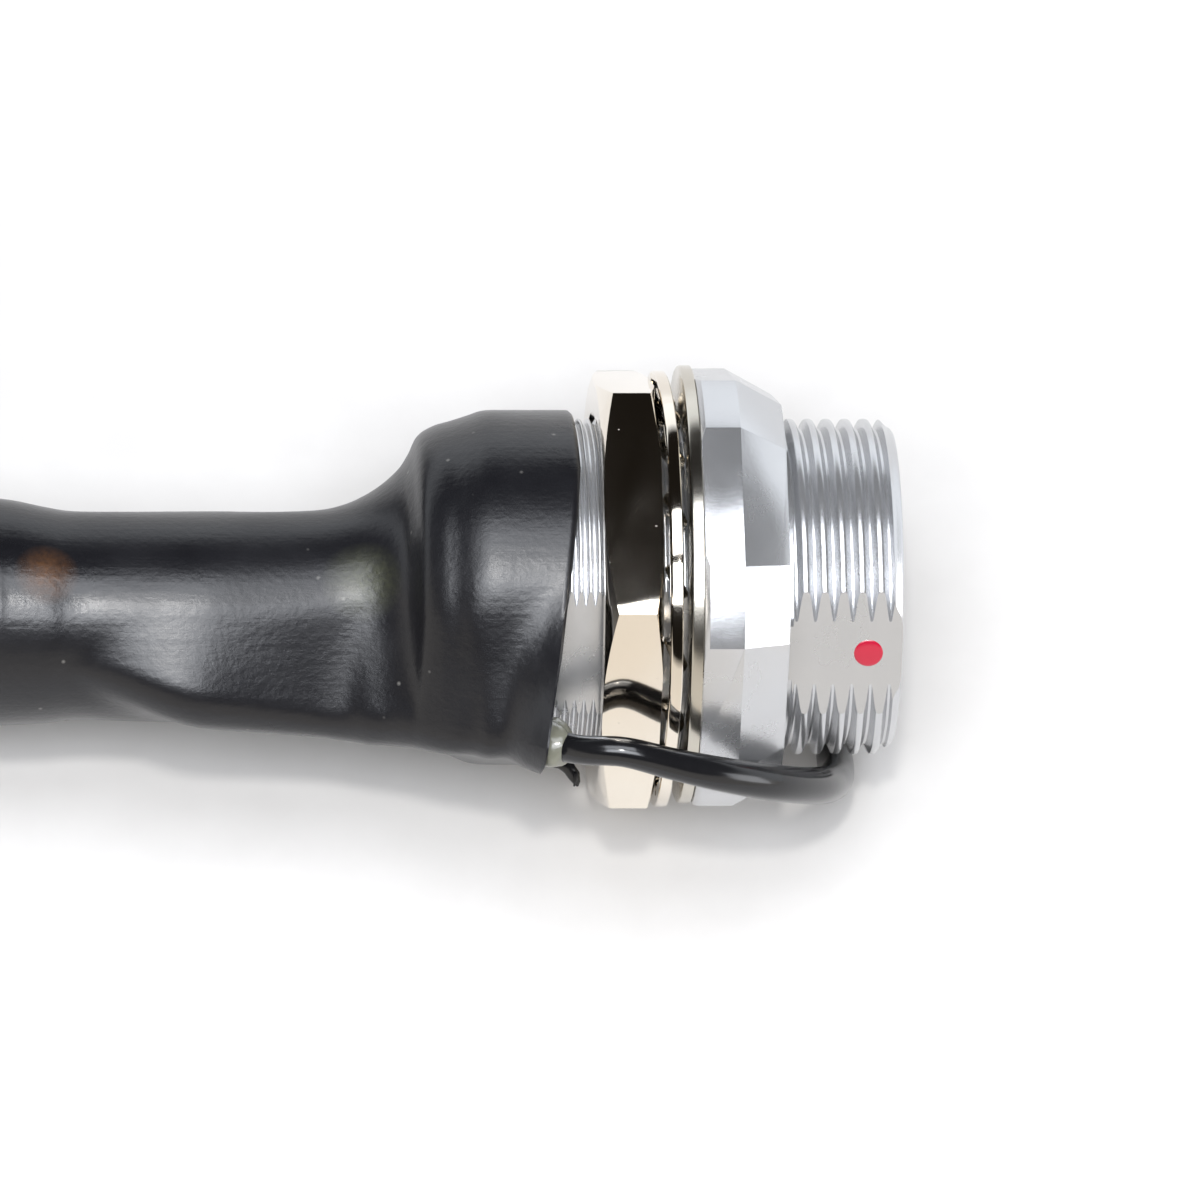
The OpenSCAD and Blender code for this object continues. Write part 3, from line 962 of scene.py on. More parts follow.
FINISHES: tuple[Finish, ...] = (
    Plating(
        "satin_chrome", "satin_plate", (0.58, 0.585, 0.595), (0.50, 0.505, 0.52),
        (0.22, 0.29), grain_scale=7000.0, line_share=0.45, metallic=0.8, crown=0.18,
    ),
    Plating(
        "bright_nickel", "nickel_plate", (0.83, 0.77, 0.68), (0.72, 0.65, 0.55),
        (0.05, 0.09), grain_scale=2600.0, grain_depth=0.0008, line_share=0.3, dust=0.09,
    ),
    Plating(
        "dull_nickel", "nickel_plate", (0.62, 0.59, 0.53), (0.45, 0.41, 0.33),
        (0.17, 0.26), grain_scale=2600.0, grain_depth=0.002, line_share=0.3, dust=0.05,
    ),
    Plating(
        "contact_gold", "gold_plate", (0.90, 0.68, 0.30), (0.80, 0.58, 0.24),
        (0.14, 0.26), grain_depth=0.002,
    ),
    Plating(
        "tinned_braid", "tinned_copper", (0.68, 0.67, 0.64), (0.55, 0.53, 0.5),
        (0.25, 0.4), grain_scale=2500.0, grain_depth=0.03,
    ),
    DarkRubber(
        "shrink_film", "shrink_film", (0.004, 0.004, 0.0055), (0.011, 0.011, 0.014),
        (0.26, 0.38), grain_depth=0.045, line_stretch=(0.06, 1.0, 1.0),
        line_scale=1600.0, line_share=0.7,
        stains=(
            ((-17.8, -2.1, 5.3), 2.3, (0.085, 0.09, 0.045)),
            ((-34.6, -1.9, 5.7), 1.8, (0.16, 0.07, 0.025)),
        ),
    ),
    DarkRubber(
        "cable_jacket", "jacket_rubber", (0.02, 0.02, 0.022), (0.04, 0.04, 0.043),
        (0.45, 0.6), grain_scale=1800.0, grain_depth=0.03,
    ),
    DarkRubber(
        "tether_cord", "tether_plastic", (0.007, 0.007, 0.008), (0.012, 0.012, 0.013),
        (0.12, 0.24), grain_scale=1500.0, grain_depth=0.008, line_scale=350.0, dust=0.05,
    ),
    DarkRubber(
        "seal_rubber", "seal_rubber", rough=(0.4, 0.5), grain_depth=0.008,
        line_stretch=(0.06, 1.0, 1.0), line_scale=1600.0, line_share=0.5,
    ),
    Moulded(
        "red_enamel", "red_enamel", (0.47, 0.012, 0.04), (0.38, 0.008, 0.03),
        (0.12, 0.22), grain_depth=0.004, coat=0.4,
    ),
    Moulded(
        "insulator_plastic", "insulator_plastic", (0.50, 0.38, 0.24), (0.42, 0.30, 0.18)
    ),
    Moulded(
        "hot_melt", "hot_melt", (0.30, 0.30, 0.25), (0.14, 0.14, 0.10), (0.08, 0.2),
        grain_scale=900.0, grain_depth=0.05, clear=0.2,
    ),
    Moulded("tie_nylon", "tie_nylon", (0.78, 0.77, 0.73), (0.7, 0.69, 0.65)),
    *(
        Moulded(
            f"wire_{name}", "wire_insulation", colour, tuple(0.8 * c for c in colour),
            grain_depth=0.006,
        )
        for name, colour in WIRE_COLOURS.items()
    ),
)


class FinishShelf:
    """Every finish of the connector, mixed once."""

    def __init__(self) -> None:
        """Mixes the finishes."""
        effects = Effects()
        self.finishes = {finish.name: finish for finish in FINISHES}
        self.materials = {
            name: finish.material(effects) for name, finish in self.finishes.items()
        }

    def dress(self, piece: Obj, name: str, angle: float | None = None) -> Obj:
        """Gives a piece one finish and nothing else.

        Args:
            piece: The piece.
            name: The finish's name.
            angle: Edges sharper than this many degrees stay crisp, and the others turn
                smooth. Without it the shading stays as it is.

        Returns:
            The same piece.
        """
        if angle is not None:
            shaded(piece, angle)
        piece.data.materials.clear()
        piece.data.materials.append(self.materials[name])
        return piece


@dataclass
class Assembly:
    """A sub-assembly, which takes its finishes from the shelf."""

    shelf: FinishShelf

    def fit(
        self, piece: Obj, name: str, *stands_for: str, angle: float = CRISP,
        body: Body = Body.CONNECTOR,
    ) -> Obj:
        """Finishes a piece, puts it on its body, and hides the plain solids that it stands
        for.

        Args:
            piece: The piece.
            name: The finish's name.
            stands_for: The plain solids that it replaces.
            angle: Edges sharper than this many degrees stay crisp.
            body: The body that it rides on.

        Returns:
            The same piece.
        """
        slot = self.shelf.finishes[name].slot
        return fitted(self.shelf.dress(piece, name, angle), slot, *stands_for, body=body)


# --- studio


@dataclass(frozen=True)
class Lamp:
    """A soft lamp that looks at the connector, at an angle from +Y over the top."""

    name: str
    angle: float
    tilt: float
    size: tuple[float, float]
    power: float
    tint: Rgb = (0.91, 0.94, 1.0)
    distance: float = 0.6

    def hang(self) -> None:
        """Hangs the lamp, with its width along the connector."""
        lean, turn = math.radians(self.tilt), math.radians(self.angle)
        back = Vector((
            math.sin(lean), math.cos(turn) * math.cos(lean),
            math.sin(turn) * math.cos(lean),
        ))
        bpy.ops.object.light_add(type="AREA", location=back * self.distance)
        lamp = named(self.name)
        lamp.data.shape = "RECTANGLE"
        lamp.data.size, lamp.data.size_y = self.size
        lamp.data.energy = self.power
        lamp.data.color = self.tint
        up = back.cross(Vector((1.0, 0.0, 0.0))).normalized()
        lamp.rotation_euler = Matrix((up.cross(back), up, back)).transposed().to_euler()


LAMPS = (
    Lamp("key_lamp", 103.0, -4.0, (0.035, 0.035), 0.9, (1.0, 0.98, 0.95)),
    Lamp("front_lamp", 112.0, -4.0, (0.5, 0.22), 3.3),
    Lamp("back_lamp", 84.5, -4.0, (0.5, 0.25), 2.3),
    Lamp("right_lamp", 135.0, 69.0, (0.28, 0.28), 1.0),
)


@dataclass
class Studio:
    """Camera, lamps, floor and surroundings."""

    scale: float = 18.78
    centre: Row = (-4.79, -0.73, 5.0)
    distance: float = 700.0
    sensor: float = 36.0
    image: float = 1200.0
    forward: Row = (0.066, 0.415, -0.91)
    upward: Row = (0.0, 0.91, 0.415)
    floor_size: float = 6.0
    dark: Rgb = (0.012, 0.010, 0.008)

    def camera(self) -> None:
        """Aims a long lens at the connector from above and in front."""
        back = -Vector(self.forward).normalized()
        right = Vector(self.upward).normalized().cross(back).normalized()
        turn = Matrix((right, back.cross(right).normalized(), back)).transposed()
        target = turn @ mm(*self.centre)
        bpy.ops.object.camera_add()
        camera = named("camera")
        camera.data.sensor_width = self.sensor
        camera.data.lens = self.sensor * self.distance * self.scale / self.image
        camera.data.clip_start = 0.01
        camera.data.clip_end = 20.0
        camera.matrix_world = (
            Matrix.Translation(target + back * self.distance * MM) @ turn.to_4x4()
        )
        bpy.context.scene.camera = camera

    def floor(self) -> None:
        """Lays a plain pale floor, which glows where far parts of it are mirrored."""
        bpy.ops.mesh.primitive_plane_add(
            size=self.floor_size, location=mm(0, 0, FLOOR_Z)
        )
        floor = moved(named("studio_floor"))
        material, recipe, place = new_material("studio_paper")
        paper = recipe.ramp(
            recipe.noise(place, 400.0, 3.0),
            [(0.3, (0.665, 0.65, 0.63)), (0.7, (0.685, 0.67, 0.65))],
        )
        shader = recipe.add(
            "BsdfPrincipled", Base_Color=paper, Roughness=0.9, Specular_IOR_Level=0.1
        )
        away = recipe.add("VectorMath", place, settings={"operation": "LENGTH"})
        far = recipe.spread(
            away.outputs["Value"], 0.06, 0.2, interpolation_type="SMOOTHSTEP"
        )
        side = recipe.add("SeparateXYZ", place).outputs["Y"]
        tint = recipe.ramp(
            recipe.maths("GREATER_THAN", side, 0.0),
            [(0.0, (0.78, 0.73, 0.67)), (1.0, (0.93, 0.96, 1.0))],
        )
        glow = recipe.add("Emission", Strength=1.3, Color=tint)
        glossy = recipe.add("LightPath").outputs["Is Glossy Ray"]
        paper_or_glow = recipe.add(
            "MixShader", recipe.times(glossy, far), shader.outputs[0], glow.outputs[0]
        )
        recipe.add("OutputMaterial", paper_or_glow.outputs[0])
        floor.data.materials.append(material)

    def surroundings(self) -> None:
        """Paints a quiet room: pale near the horizon, dark above and behind."""
        world = bpy.data.worlds.new("room")
        bpy.context.scene.world = world
        world.use_nodes = True
        recipe = Recipe(world.node_tree)
        place = recipe.add("TexCoord").outputs["Generated"]
        parts = recipe.add("SeparateXYZ", place).outputs
        dark = self.dark
        near = recipe.ramp(parts["Z"], [
            (0.0, (1.0, 0.95, 0.88)), (0.38, (0.92, 0.87, 0.80)), (0.47, dark),
            (1.0, dark),
        ])
        far = recipe.ramp(parts["Z"], [
            (0.0, (1.35, 1.4, 1.46)), (0.30, (1.25, 1.3, 1.36)), (0.40, dark),
            (1.0, dark),
        ])
        room = recipe.mixed(recipe.spread(parts["Y"], -0.2, 0.2), near, far)
        seen = recipe.add("LightPath").outputs["Is Camera Ray"]
        colour = recipe.mixed(seen, room, (1.0, 1.0, 1.0))
        light = recipe.add("Background", Color=colour, Strength=1.0)
        recipe.add("OutputWorld", light.outputs[0])

    def build(self) -> None:
        """Sets up everything that isn't part of the connector."""
        bpy.context.scene.view_settings.view_transform = "Standard"
        self.camera()
        self.floor()
        self.surroundings()
        for lamp in LAMPS:
            lamp.hang()
        LOG.info("studio ready")


# --- cable


@dataclass
class CableRun(Assembly):
    """The cable past the sleeve, its coil, its tie and its flying leads."""

    route: Rows = (
        (-12.5, 0, 0), (-15.5, 0, 0), (-17.6, -0.6, 0), (-20, -1.2, 0),
        (-23, -1.53, 0), (-30, -1.76, 0), (-37.5, -1.45, -0.15), (-43, -1.1, -0.85),
        (-49.5, -0.5, -2.1), (-56, 0.1, -3.6), (-64, 0.75, -5.4), (-75, 1, -6.85),
        (-85, 1, -6.85), (-95.2, 1, -6.85),
    )
    route_steps: int = 8
    jacket_row: int = 6
    run_row: int = 9
    sides: int = 32
    diameter: float = 9.8
    gap: float = 0.5
    turns: float = 1.75
    coil_diameter: float = 100.0
    coil_step: float = 4.0
    lay_z: float = -6.85
    open_arc: float = 262.0
    sleeved_arc: float = 37.0
    sleeve_lead: float = 18.0
    sleeve_rings: int = 34
    mouth_rings: int = 3
    tip_rings: int = 4
    sleeve_wall: float = 0.6
    mouth_dip: float = 0.06
    tip_dip: float = 0.2
    climb_half: float = 90.0
    tie_at: float = 180.0
    tie_width: float = 4.0
    tie_thick: float = 0.6
    tie_gap: float = 0.25
    tie_spread: float = 50.0
    head_sink: float = 0.35
    head_round: float = 0.45
    head_box: tuple[Row, Row] = ((-2.8, 0, -2), (2.8, 3.2, 2))
    slot_box: tuple[Row, Row] = ((-2.1, 0.9, -4), (2.1, 2.2, 4))
    lead_arc: float = 38.0
    lead_start: float = 0.2
    lead_rows: int = 6
    wire_radius: float = 0.7
    wire_sides: int = 12
    wire_circle: float = 2.9
    wire_spacing: float = 1.55
    wire_slots: tuple[int, ...] = (4, 6, 7, 5, 3, 1, 0, 2)
    fan_shift: float = 0.5
    fan_drop: float = 4.2
    ferrule_radius: float = 0.75
    ferrule_length: float = 6.0
    ferrule: Pairs = (
        (0, 0.94), (0.04, 1.0), (0.3, 1.0), (0.36, 0.85), (0.4, 0.72), (0.95, 0.72),
        (1.0, 0.62),
    )

    @property
    def pitch(self) -> float:
        """Distance between the middles of neighbouring turns."""
        return self.diameter + self.gap

    @property
    def whole(self) -> float:
        """Degrees wound in both layers, if they were complete."""
        return 720.0 * self.turns

    @property
    def outer(self) -> float:
        """Radius of the coil's widest turn."""
        return self.coil_diameter / 2 + self.turns * self.pitch / 2

    @property
    def coil_end(self) -> float:
        """Degrees wound where the bare jacket ends."""
        return self.whole - self.open_arc

    @property
    def middle(self) -> tuple[float, float]:
        """The coil's middle, as X and Y."""
        return self.route[-1][0] - self.diameter, self.route[-1][1] + self.outer

    def coil_point(self, s: float) -> Vector:
        """Finds a place on the coil.

        Args:
            s: Degrees wound since the straight run met it.

        Returns:
            The place in millimetres.
        """
        half = self.whole / 2
        radius = self.outer - self.pitch * (half - abs(s - half)) / 360
        turn = math.radians(-90 - s)
        off = abs((s - self.tie_at + 720) % 360)
        near = min(off, 360 - off)
        lift = (self.tie_thick + self.tie_gap) * (1 - smooth(near / self.tie_spread))
        wound = (s - half + self.climb_half) / (2 * self.climb_half)
        x, y = self.middle
        return Vector((
            x + radius * math.cos(turn), y + radius * math.sin(turn),
            self.lay_z + lift + self.pitch * smooth(wound),
        ))

    def heading(self, s: float) -> Vector:
        """Finds the coil's direction at a place."""
        return (self.coil_point(s + 1) - self.coil_point(s - 1)).normalized()

    def route_points(self, first: int, last: int) -> list[Vector]:
        """Lists the cable's middle line between two rows of its route, in metres."""
        fine = refined(self.route, self.route_steps)
        return [mm(*r) for r in fine[first * self.route_steps:last * self.route_steps + 1]]

    def free_path(self) -> list[Vector]:
        """Lists the middle line of the free cable, from the sleeve to its end.

        Returns:
            Places in metres.
        """
        path = self.route_points(self.run_row, len(self.route) - 1)
        count = int(self.coil_end / self.coil_step)
        path += [
            self.coil_point(self.coil_end * i / count) * MM for i in range(count + 1)
        ]
        ahead = self.heading(self.coil_end) * self.diameter * MM
        return path + [path[-1] + ahead * f for f in (0.33, 0.66, 1.0)]

    def jacket(self) -> Obj:
        """Makes the free cable and the stretch that the sleeve holds.

        Returns:
            The free cable.
        """
        radius = self.diameter / 2 * MM
        held_path = self.route_points(self.jacket_row, self.run_row)
        held = swept("held_cable", held_path, radius, self.sides)
        self.fit(held, "cable_jacket", "cable_jacket")
        cable = swept("cable", self.free_path(), radius, self.sides)
        return self.fit(cable, "cable_jacket", "cable_run", "cable_coil")

    def tie(self) -> Obj:
        """Makes the strap round the three turns, with its head and its tail.

        Returns:
            The strap.
        """
        turns = [self.coil_point(self.tie_at + 360 * k) for k in range(3)]
        inner = self.diameter / 2 + self.tie_gap
        loop = []
        for k in range(360):
            u = Vector((0, math.cos(math.radians(k)), math.sin(math.radians(k))))
            best = max(turns, key=lambda p: p.dot(u))
            loop.append((Vector((self.middle[0], best.y, best.z)) + inner * u, u))
        half, thick = self.tie_width / 2, self.tie_thick
        edge, nick, dip, crest = 0.25, 0.06, 0.02, 0.5
        section = [
            (-half, nick), (-half + edge, 0), (half - edge, 0), (half, nick),
            (half, thick - nick), (half - edge, thick - dip), (crest, thick),
            (-crest, thick), (-half + edge, thick - dip), (-half, thick - nick),
        ]
        rings = [
            [(point + out * rise + Vector((x, 0, 0))) * MM for x, rise in section]
            for point, out in [*loop, loop[0]]
        ]
        strap = wrapped("coil_strap", rings, endless=True)
        side = turns[0].y + inner + thick - self.head_sink
        centre = Vector((self.middle[0], side, turns[0].z))
        head, slot = (
            block(name, *((centre + Vector(corner)) * MM for corner in box))
            for name, box in (("strap_head", self.head_box), ("strap_slot", self.slot_box))
        )
        carved(rounded(head, self.head_round, 3, 30.0), slot, Cut.REMOVE)
        return self.fit(joined([strap, head], "coil_strap"), "tie_nylon", "coil_tie")

    def sleeved_end(self) -> Obj:
        """Makes the short sleeve over the jacket's end.

        Returns:
            The sleeve.
        """
        ahead = self.heading(self.coil_end)
        start = self.coil_point(self.coil_end) + self.diameter * ahead
        rest = self.sleeved_arc - self.sleeve_lead
        rows = [tuple(start), tuple(start + 2 * ahead)] + [
            tuple(self.coil_point(self.coil_end + self.sleeve_lead + k * rest / 4))
            for k in range(5)
        ]
        path = evenly([mm(*row) for row in refined(rows, 6)], self.sleeve_rings)
        full, last = self.diameter / 2 + self.sleeve_wall, len(path) - 1
        radii = [
            full * MM * (
                1 - self.mouth_dip * (1 - smooth(i / self.mouth_rings))
                - self.tip_dip * smooth((i - last + self.tip_rings) / self.tip_rings)
            )
            for i in range(len(path))
        ]
        sleeve = swept("end_sleeve_film", path, radii, self.sides)
        return self.fit(sleeve, "shrink_film", "end_sleeve")

    def lead_path(self, k: int) -> list[Row]:
        """Finds how one lead runs from the cable's core out over the coil.

        Args:
            k: Which lead.

        Returns:
            Places in millimetres.
        """
        count = len(self.wire_slots)
        turn = math.tau * k / count
        slot = self.wire_slots[k] - (count - 1) / 2
        out_at = self.coil_end + self.sleeved_arc + self.lead_start
        x, y = self.middle
        path = []
        for i in range(self.lead_rows + 1):
            f = smooth(i / self.lead_rows)
            centre = self.coil_point(out_at + i * self.lead_arc / self.lead_rows)
            out = Vector((centre.x - x, centre.y - y, 0)).normalized()
            fan = slot * self.wire_spacing - self.fan_shift
            spread = (1 - f) * self.wire_circle * math.sin(turn) + f * fan
            rise = (1 - f) * self.wire_circle * math.cos(turn) - f * self.fan_drop
            path.append(tuple(centre + spread * out + Vector((0, 0, rise))))
        return path

    def leads(self) -> list[Obj]:
        """Makes the coloured leads and their ferrules.

        Returns:
            The leads as one piece, and the ferrules as another.
        """
        wires, ferrules = [], []
        for k, colour in enumerate(WIRE_COLOURS):
            path = [mm(*row) for row in refined(self.lead_path(k), 5)]
            wire = swept(f"lead_{k}", path, self.wire_radius * MM, self.wire_sides)
            wires.append(self.shelf.dress(wire, f"wire_{colour}", CRISP))
            tip, ahead = path[-1], (path[-1] - path[-6]).normalized()
            barrel = [tip + ahead * self.ferrule_length * MM * f for f, _ in self.ferrule]
            sizes = [self.ferrule_radius * MM * f for _, f in self.ferrule]
            ferrule = swept(f"ferrule_{k}", barrel, sizes, self.wire_sides)
            ferrules.append(shaded(ferrule, CRISP))
        lead_set = joined(wires, "flying_leads")
        ferrule_set = self.shelf.dress(joined(ferrules, "lead_ferrules"), "tinned_braid")
        return [
            fitted(lead_set, "wire_insulation", "lead_wires"),
            fitted(ferrule_set, "tinned_copper", "wire_ferrules"),
        ]

    def build(self) -> None:
        cable = self.jacket()
        path = self.free_path()
        extras = [self.tie(), self.sleeved_end(), *self.leads()]


# --- tether


@dataclass
class Tether(Assembly):
    """The thin cord looped over the nut and under the front thread.

    The nudges lay some rows of the route nearer to the metal, and the girth gives the
    cord's radius at some rows.
    """

    route: Rows = (
        (-26, -6.8, 1.6), (-20, -7.2, 0.35), (-17.6, -7.5, 0.6), (-15.4, -8, 1.3),
        (-13.6, -8.95, 2), (-12, -9.5, 2.6), (-10.2, -9.85, 3.1), (-8.4, -10.9, 4),
        (-6.4, -12.35, 5.9), (-4.2, -12.95, 6.5), (-1.5, -12.75, 5.25),
        (1.2, -12.85, 4.1), (4, -12.3, 1.8), (6.4, -11.1, -1.9), (7.7, -9.5, -5.7),
        (8.3, -7.6, -8.9), (8.4, -4.7, -10.6), (8.4, -1, -10.8), (8.4, 2.8, -10.8),
        (7.6, 6.8, -10.8), (5.2, 9.7, -10.8), (1.8, 11, -10.75), (-2, 11.3, -10.25),
        (-5, 11.4, -9), (-7.4, 10.4, -7.4), (-9.6, 9.25, -6.15), (-12, 8.3, -5.2),
        (-13.6, 7.3, -5), (-15.4, 6.05, -4.9), (-17.6, 4.6, -4.8), (-20, 3.1, -4.75),
        (-26, 0.3, -5.1),
    )
    nudges: tuple[tuple[int, Row], ...] = (
        (8, (0.0, 0.35, -0.45)), (9, (0.0, 0.55, -0.42)), (13, (0.0, 0.25, 0.0)),
        (14, (0.0, 0.4, 0.2)), (15, (0.0, 0.5, 0.25)),
    )
    girth: Pairs = (
        (0, 0.92), (6, 0.84), (8, 0.78), (9, 0.80), (10, 0.85), (11, 0.93), (12, 0.98),
        (14, 1.02), (15, 1.0), (17, 0.95), (31, 0.95),
    )
    diameter: float = 1.9
    sides: int = 24
    steps: int = 8
    held_rows: int = 9
    tail_reach: float = 8.0

    @cached_property
    def line(self) -> list[Row]:
        """The cord's middle line, with the nudges in it.

        Returns:
            Places in millimetres.
        """
        rows = list(self.route)
        for i, nudge in self.nudges:
            rows[i] = tuple(a + b for a, b in zip(rows[i], nudge))
        return refined(rows, self.steps)

    @cached_property
    def tails(self) -> list[list[Row]]:
        """The middle lines of both held tails, lengthened past their ends.

        Returns:
            Places in millimetres for each tail, in order of X.
        """
        held = (self.held_rows - 1) * self.steps + 1
        both = []
        for part in (self.line[:held], self.line[-held:]):
            stations = sorted(part)
            end = Vector(stations[0])
            step = end - Vector(stations[1])
            past = end + step * (self.tail_reach / abs(step.x))
            both.append([tuple(past), *stations])
        return both

    def build(self) -> None:
        path = [mm(*row) for row in self.line]
        radii = [between(i / self.steps, self.girth) * MM for i in range(len(path))]
        cord = swept("tether", path, radii, self.sides, first=(0, 0, 1))
        self.fit(cord, "tether_cord", "tether_loop", angle=60.0)


# --- shrink sleeve


@dataclass
class ShrinkSleeve(Assembly):
    """The film shrunk over the barrel's rear, the two cord tails and the cable.

    Each row is X, the middle's Y and Z, the outer radius and the wall. The lip gives
    how far the edge stands forward at some angles.
    """

    tether: Tether
    rows: Rows = (
        (-7, -0.05, 0, 9.5, 0.35), (-8.4, -0.05, 0, 9.5, 0.35),
        (-9.8, -0.05, 0, 9.5, 0.35), (-11.1, -0.06, 0, 9.48, 0.5),
        (-12, -0.15, 0, 9.28, 0.35), (-12.9, -0.1, 0, 8.95, 0.45),
        (-13.8, -0.08, 0, 8.66, 0.55), (-14.6, -0.08, 0, 8.13, 0.7),
        (-15.1, -0.11, 0, 7.19, 0.75), (-15.6, -0.2, 0, 6.5, 0.8),
        (-16.4, -0.38, 0, 5.91, 0.8), (-17.4, -0.64, 0, 5.48, 0.8),
        (-18.6, -0.96, 0, 5.24, 0.65), (-20, -1.23, 0, 5.2, 0.6),
        (-22.5, -1.5, 0, 5.35, 0.75), (-25, -1.69, 0, 5.55, 0.95),
        (-26.3, -1.77, 0, 5.62, 1.02), (-28, -1.78, 0, 5.62, 1.03),
        (-30, -1.76, 0, 5.59, 1), (-33, -1.72, 0, 5.58, 1),
        (-34.6, -1.68, 0, 5.78, 0.9), (-36.5, -1.48, -0.1, 6.02, 0.92),
        (-38.5, -1.4, -0.23, 6.1, 1.05), (-47, -0.74, -1.58, 6.1, 1.05),
        (-54, -0.08, -3.13, 6, 0.95),
    )
    lip: Pairs = (
        (-20, 0.42), (24, 0.55), (72, 0.72), (88, 0.5), (110, 0.1), (135, -0.46),
        (148, -1.0), (160, -1.5), (172, -1.45), (192, -0.9), (230, -0.6), (290, 0.05),
        (340, 0.42),
    )
    lip_fade: Rows = ((1,), (0.6,), (0.2,), (0,))
    sides: int = 96
    steps: int = 6
    tails_end: float = -26.2
    tails_fade: float = 7.5
    slack: float = 0.1
    mouth_wall: float = 0.6
    end_wall: float = 0.55

    def tail(self, x: float, rows: Sequence[Row], core: Vector, hidden: float) -> Vector:
        """Finds where a cord tail lies under the film.

        Past the tail's end it sinks slowly until the core hides it.

        Args:
            x: Station along the axis.
            rows: The tail's rows.
            core: The core's middle at that station, as Y and Z.
            hidden: Distance from the core's middle at which the core hides it.

        Returns:
            The tail's middle, as Y and Z.
        """
        f = smooth((x - self.tails_end) / self.tails_fade + 1)
        at = [between(x, [(row[0], row[k]) for row in rows]) for k in (1, 2)]
        out = Vector(at) - core
        return core + out.normalized() * (f * out.length + (1 - f) * hidden)

    def film(self, row: Row, grow: float, slant: float) -> list[Vector]:
        """Draws one section of film, tight round the core and both cord tails.

        Args:
            row: X, the middle's Y and Z, outer radius and wall.
            grow: Distance outside the rounds.
            slant: Share of the lip's own outline that this section follows.

        Returns:
            Places in metres, evenly spread round the section.
        """
        x, within = row[0], row[3] - row[4]
        core = Vector(row[1:3])
        cord = self.tether.diameter / 2 + self.slack
        rounds = [(core, within)]
        for rows in self.tether.tails:
            rounds.append((self.tail(x, rows, core, within - cord), cord))
        dense = []
        for k in range(361):
            a = math.tau * (k / 360 + 0.25)
            u = Vector((math.cos(a), math.sin(a)))
            middle, radius = max(rounds, key=lambda part: part[0].dot(u) + part[1])
            dense.append(Vector((0.0, *(middle + (radius + grow) * u))))
        ring = []
        for p in evenly(dense, self.sides + 1)[:-1]:
            angle = math.degrees(math.atan2(p.z - core.y, p.y - core.x)) % 360
            if angle > self.lip[-1][0]:
                angle -= 360
            ring.append(mm(x + slant * between(angle, self.lip), p.y, p.z))
        return ring

    def build(self) -> None:
        """Makes the sleeve with its wall, its uneven lip and its rounded edges."""
        fine = refined(self.rows, self.steps)
        thinned = {0: self.mouth_wall, len(fine) - 1: self.end_wall}
        outer, inner = [], []
        for i, row in enumerate(fine):
            t = i / self.steps
            slant = along(self.lip_fade, t)[0] if t < len(self.lip_fade) - 1 else 0.0
            outer.append(self.film(row, row[4] * thinned.get(i, 1.0), slant))
            inner.append(self.film(row, 0.0, slant))
        rings = [*outer, *reversed(inner), outer[0]]
        sleeve = wrapped("shrink_sleeve_film", rings, endless=True)
        self.fit(sleeve, "shrink_film", "shrink_sleeve", angle=50.0)


# --- shell


@dataclass
class Thread:
    """One screw thread: where it runs and its form.

    The crest and the root are shares of the pitch, and a crest passes crest_x at the
    angle of crest_angle.
    """

    from_x: float
    to_x: float
    pitch: float
    minor: float
    crest_x: float
    crest: float = 0.34
    root: float = 0.14
    major: float = 9.0
    crest_angle: float = 24.5
    steps: int = 96

    def rod(self, name: str) -> Obj:
        """Winds the thread's profile into a closed threaded rod.

        Args:
            name: The piece's name.

        Returns:
            The rod, cut square at both ends.
        """
        start = self.crest_x + self.pitch * (90.0 - self.crest_angle) / 360.0
        while start > self.from_x - 2 * self.pitch:
            start -= self.pitch
        depth = self.major - self.minor
        half, flank = self.crest / 2, (1 - self.crest - self.root) / 2
        side = [
            (half * 0.45, 0.0), (half, 0.07), (half + flank * 0.22, 0.24),
            (half + flank * 0.8, 0.84), (half + flank, 0.97), (0.5, 1.0),
        ]
        shape = [(-x, drop) for x, drop in reversed(side)] + side[:-1]
        count = int((self.to_x - start) / self.pitch) + 2
        profile = [
            (start + (k + x) * self.pitch, self.major - depth * drop)
            for k in range(count) for x, drop in shape
        ]
        profile.append((start + (count - 0.5) * self.pitch, self.minor))
        rod = finished(
            chain(name, profile), "SCREW", axis="X", screw_offset=self.pitch * MM,
            angle=math.tau, steps=self.steps, render_steps=self.steps, iterations=1,
            use_merge_vertices=False, use_normal_calculate=False,
        )
        with editing(rod):
            bpy.ops.mesh.remove_doubles(threshold=THREAD_WELD)
        sliced(rod, self.from_x, -1)
        sliced(rod, self.to_x, 1)
        with editing(rod):
            bpy.ops.mesh.normals_make_consistent(inside=False)
        return rod


